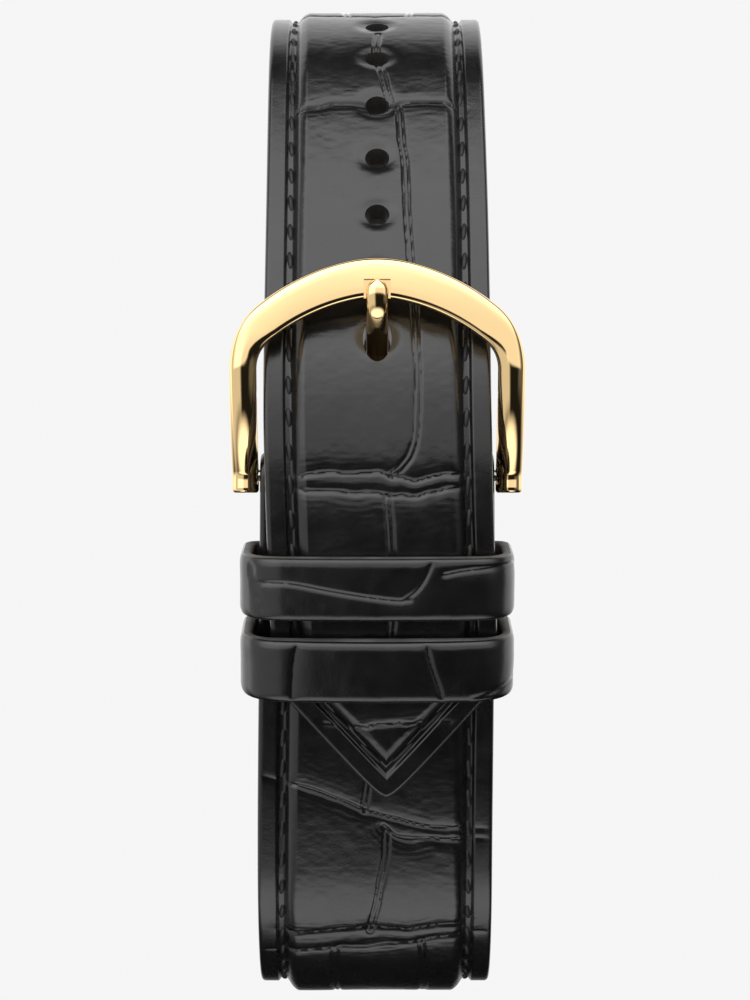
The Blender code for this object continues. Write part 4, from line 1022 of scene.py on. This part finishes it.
def tongue_spine(hole):
    """Depth and height along the tongue: flat under the strap, up through its hole, onto the arch."""
    (point,), (heading,) = hole.line.at([TIP_BELOW_BAR + CREST[0]])
    inward = hole.line.inward(heading)
    angle = math.radians(heading)
    along = np.array([math.sin(angle), math.cos(angle)])
    under = point + (HOLE_STRAP_THICKNESS + 0.85) * inward - 0.8 * along
    over = point - 0.75 * inward + 0.75 * along
    rest = FRAME_FRONT_DEPTH - 0.4 - TONGUE_THICKNESS / 2 - 0.06
    return np.array([(BUCKLE_BAR[0] + 0.2, BUCKLE_BAR[1] + 0.95), (under[0] + 0.25, under[1] - 3.5),
                     (under[0] + 0.12, under[1] - 1.2), under, over, (rest + 0.12, over[1] + 0.95),
                     (rest, FRAME_PEAK - 1.2), (rest, FRAME_PEAK - 0.18)])


def tongue_piece(hole):
    spine = np.array(rounded(tongue_spine(hole), 3))
    steps = np.linalg.norm(np.diff(spine, axis=0), axis=1)
    total = np.concatenate([[0], np.cumsum(steps)])
    wanted = total[-1] * (1 - (1 - np.linspace(0, 1, 120)) ** 1.5)
    path = np.stack([np.interp(wanted, total, spine[:, k]) for k in range(2)], 1)
    for _ in range(40):
        path[1:-1] = (path[:-2] + 2 * path[1:-1] + path[2:]) / 4
    ahead = np.gradient(path, axis=0)
    ahead /= np.linalg.norm(ahead, axis=1)[:, None]
    points = []
    for s, place, (da, dh) in zip(wanted, path, ahead):
        tip = max(0.0, 1 - (total[-1] - s) / 0.75)
        half = TONGUE_WIDTH * math.sqrt(1 - (0.98 * tip) ** 2)
        thick = TONGUE_THICKNESS * (1 - 0.5 * tip ** 2)
        for a, b in cushion(half, thick, TONGUE_SIDES):
            depth, height = place[0] - dh * b, place[1] + da * b
            points.append((a * MM, (FRONT_Y + depth) * MM, height * MM))
    faces = skin_faces(len(path), TONGUE_SIDES)
    ob = mesh_object("buckle_tongue_polished", points, faces, [BUCKLE_GOLD], 50.0)
    eye = bar_rod(TONGUE_EYE[1], -TONGUE_WIDTH / 2 + 0.01, TONGUE_WIDTH / 2 - 0.01)
    mod = ob.modifiers.new("eye", "BOOLEAN")
    mod.operation = "UNION"
    mod.solver = "EXACT"
    mod.object = eye
    apply_modifiers(ob)
    bpy.data.objects.remove(eye, do_unlink=True)
    carve(ob, bar_rod(TONGUE_EYE[0], -2.0, 2.0))
    soften(ob, 0.09, 3)
    return ob


def build_buckle(hole):
    ring = buckle_frame_piece()
    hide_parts("buckle_frame")
    finish_piece(ring, "buckle_frame")
    tongue = tongue_piece(hole)
    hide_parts("buckle_tongue")
    finish_piece(tongue, "buckle_tongue")


# ---------------------------------------------------------------- case and movement

def dress(mat, *nodes, edge=0.0):
    """Gives CAD nodes a finish, with a fine bevel on their edges."""
    for name in nodes:
        ob = bpy.data.objects[name]
        ob.data.materials.clear()
        ob.data.materials.append(mat)
        for polygon in ob.data.polygons:
            polygon.material_index = 0
        if edge:
            soften(ob, edge, 3)
        ob.data.shade_smooth()
        ob.data.set_sharp_from_angle(angle=math.radians(32))


def build_watch_head():
    dress(GOLD, "case_body", "case_back", edge=0.35)
    dress(GOLD, "crown", "hour_hand", "minute_hand", edge=0.03)
    dress(GLASS, "crystal", edge=0.25)
    dress(DIAL, "dial", edge=0.03)
    dress(BRASS, "main_plate", "train_bridge", edge=0.05)
    dress(BRASS, "minute_arbor", "hour_wheel", "minute_wheel", "third_wheel", "intermediate_wheel", "rotor")
    dress(STEEL, "battery", "battery_clamp", "bridge_screw_left", "bridge_screw_right", "stator", "stem",
          "sliding_pinion", "setting_lever", "crown_tube")
    for bar in ("buckle_bar", "lug_bar_twelve", "lug_bar_six"):
        dress(STEEL, f"{bar}_tube", f"{bar}_tip_left", f"{bar}_tip_right", f"{bar}_spring")
    dress(COPPER, "coil", edge=0.1)
    dress(CIRCUIT, "circuit_board")
    dress(NYLON, "movement_holder", "crystal_gasket", edge=0.05)
    dress(RUBBER, "case_back_gasket", "crown_gasket")


# ---------------------------------------------------------------- stage, light and camera

CAMERA_DISTANCE = 211.0
CAMERA_X = -0.15
VIEW_HEIGHT = 20.5
FLOOR_Z = -95.0
PAPER = 0.918

ROOM_LIGHT = 0.013  # strength of the dark room between the lights

# Lights painted on the sky: strength, then windows of elevation, of azimuth (0 in front, negative on the
# left) and of the direction's Y.
WORLD_LIGHTS = [
    (1.0, ((-5.5, -1.0), (71.0, 79.0)), ((-85.0, -55.0), (55.0, 85.0)), None),
    (1.3, ((12.0, 48.0), (71.0, 79.0)), ((-85.0, -50.0), (50.0, 85.0)), None),
    (0.72, ((-58.0, -28.0), (30.0, 60.0)), ((-125.0, -108.0), (-22.0, -6.0)), None),
    (1.15, ((-30.0, 0.0), (60.0, 78.0)), None, ((0.12, 0.35), (3.0, 4.0))),
    (1.6, ((-96.0, -95.0), (-62.0, -42.0)), None, ((-9.0, -8.0), (-0.15, 0.15))),
    (0.12, ((-30.0, -10.0), (30.0, 50.0)), ((40.0, 60.0), (110.0, 120.0)), None),
]


def pale_floor():
    """A pale floor well below the watch; the lens sees it as bright as the paper behind."""
    mat, shader = new_material("pale_paper", (0.93, 0.93, 0.925), 0.9)
    link(mat, ramp(mat, noise_node(mat, object_coords(mat), 40.0, 3.0),
                   [(0.3, (0.925, 0.925, 0.92)), (0.7, (0.935, 0.935, 0.93))]), shader.inputs["Base Color"])
    glow = add_node(mat, "ShaderNodeEmission", Color=(PAPER, PAPER, PAPER, 1))
    path = add_node(mat, "ShaderNodeLightPath")
    mix = add_node(mat, "ShaderNodeMixShader")
    link(mat, path.outputs["Is Camera Ray"], mix.inputs["Fac"])
    link(mat, shader.outputs["BSDF"], mix.inputs[1])
    link(mat, glow.outputs["Emission"], mix.inputs[2])
    link(mat, mix.outputs["Shader"], mat.node_tree.nodes["Material Output"].inputs["Surface"])
    bpy.ops.mesh.primitive_circle_add(vertices=96, radius=3.0, fill_type="NGON",
                                      location=(0, 0, FLOOR_Z * MM))
    floor = bpy.context.object
    floor.name = "floor"
    floor.data.materials.append(mat)
    floor.visible_glossy = False


def band(tree, value, rise, fall):
    """A smooth window of value: up across rise, down across fall."""
    def step(low, high):
        node = tree.nodes.new("ShaderNodeMapRange")
        node.interpolation_type = "SMOOTHSTEP"
        node.inputs["From Min"].default_value = low
        node.inputs["From Max"].default_value = high
        tree.links.new(value, node.inputs["Value"])
        return node.outputs["Result"]
    return combine(tree, "SUBTRACT", step(*rise), step(*fall))


def combine(tree, operation, first, second=None):
    node = tree.nodes.new("ShaderNodeMath")
    node.operation = operation
    for socket, value in zip(node.inputs, (first, second)):
        if isinstance(value, (int, float)):
            socket.default_value = value
        elif value is not None:
            tree.links.new(value, socket)
    return node.outputs["Value"]


def world_light():
    """A dark room with the soft lights of WORLD_LIGHTS; the lens sees plain paper in place of the sky."""
    world = bpy.data.worlds.new("studio")
    world.use_nodes = True
    tree = world.node_tree
    coords = tree.nodes.new("ShaderNodeTexCoord")
    split = tree.nodes.new("ShaderNodeSeparateXYZ")
    tree.links.new(coords.outputs["Generated"], split.inputs["Vector"])
    x, y, z = (split.outputs[axis] for axis in "XYZ")
    degrees = 180 / math.pi
    elevation = combine(tree, "MULTIPLY", combine(tree, "ARCSINE", z), degrees)
    turn = combine(tree, "ARCTAN2", x, combine(tree, "MULTIPLY", y, -1.0))
    azimuth = combine(tree, "MULTIPLY", turn, degrees)
    total = ROOM_LIGHT
    for strength, up, sideways, depth in WORLD_LIGHTS:
        part = band(tree, elevation, *up)
        if sideways:
            part = combine(tree, "MULTIPLY", part, band(tree, azimuth, *sideways))
        if depth:
            part = combine(tree, "MULTIPLY", part, band(tree, y, *depth))
        total = combine(tree, "ADD", combine(tree, "MULTIPLY", part, strength), total)
    room = tree.nodes["Background"]
    tree.links.new(total, room.inputs["Strength"])
    room.inputs["Color"].default_value = (1, 1, 1, 1)
    paper = tree.nodes.new("ShaderNodeBackground")
    paper.inputs["Color"].default_value = (PAPER, PAPER, PAPER, 1)
    path = tree.nodes.new("ShaderNodeLightPath")
    mix = tree.nodes.new("ShaderNodeMixShader")
    tree.links.new(path.outputs["Is Camera Ray"], mix.inputs["Fac"])
    tree.links.new(room.outputs["Background"], mix.inputs[1])
    tree.links.new(paper.outputs["Background"], mix.inputs[2])
    tree.links.new(mix.outputs["Shader"], tree.nodes["World Output"].inputs["Surface"])
    bpy.context.scene.world = world
    bpy.context.scene.view_settings.view_transform = "Standard"


def camera():
    data = bpy.data.cameras.new("camera")
    data.sensor_fit = "VERTICAL"
    data.sensor_height = 24.0
    data.sensor_width = 24.0
    data.lens = 12.0 / math.tan(math.radians(VIEW_HEIGHT / 2))
    data.clip_start = 0.01
    data.clip_end = 20.0
    ob = bpy.data.objects.new("camera", data)
    ob.location = (CAMERA_X * MM, -CAMERA_DISTANCE * MM, 0.0)
    ob.rotation_euler = (math.pi / 2, 0, 0)
    bpy.context.scene.collection.objects.link(ob)
    bpy.context.scene.camera = ob


hole_strap, buckle_strap = build_straps()
build_keepers(buckle_strap)
build_buckle(hole_strap)
build_watch_head()
pale_floor()
world_light()
camera()
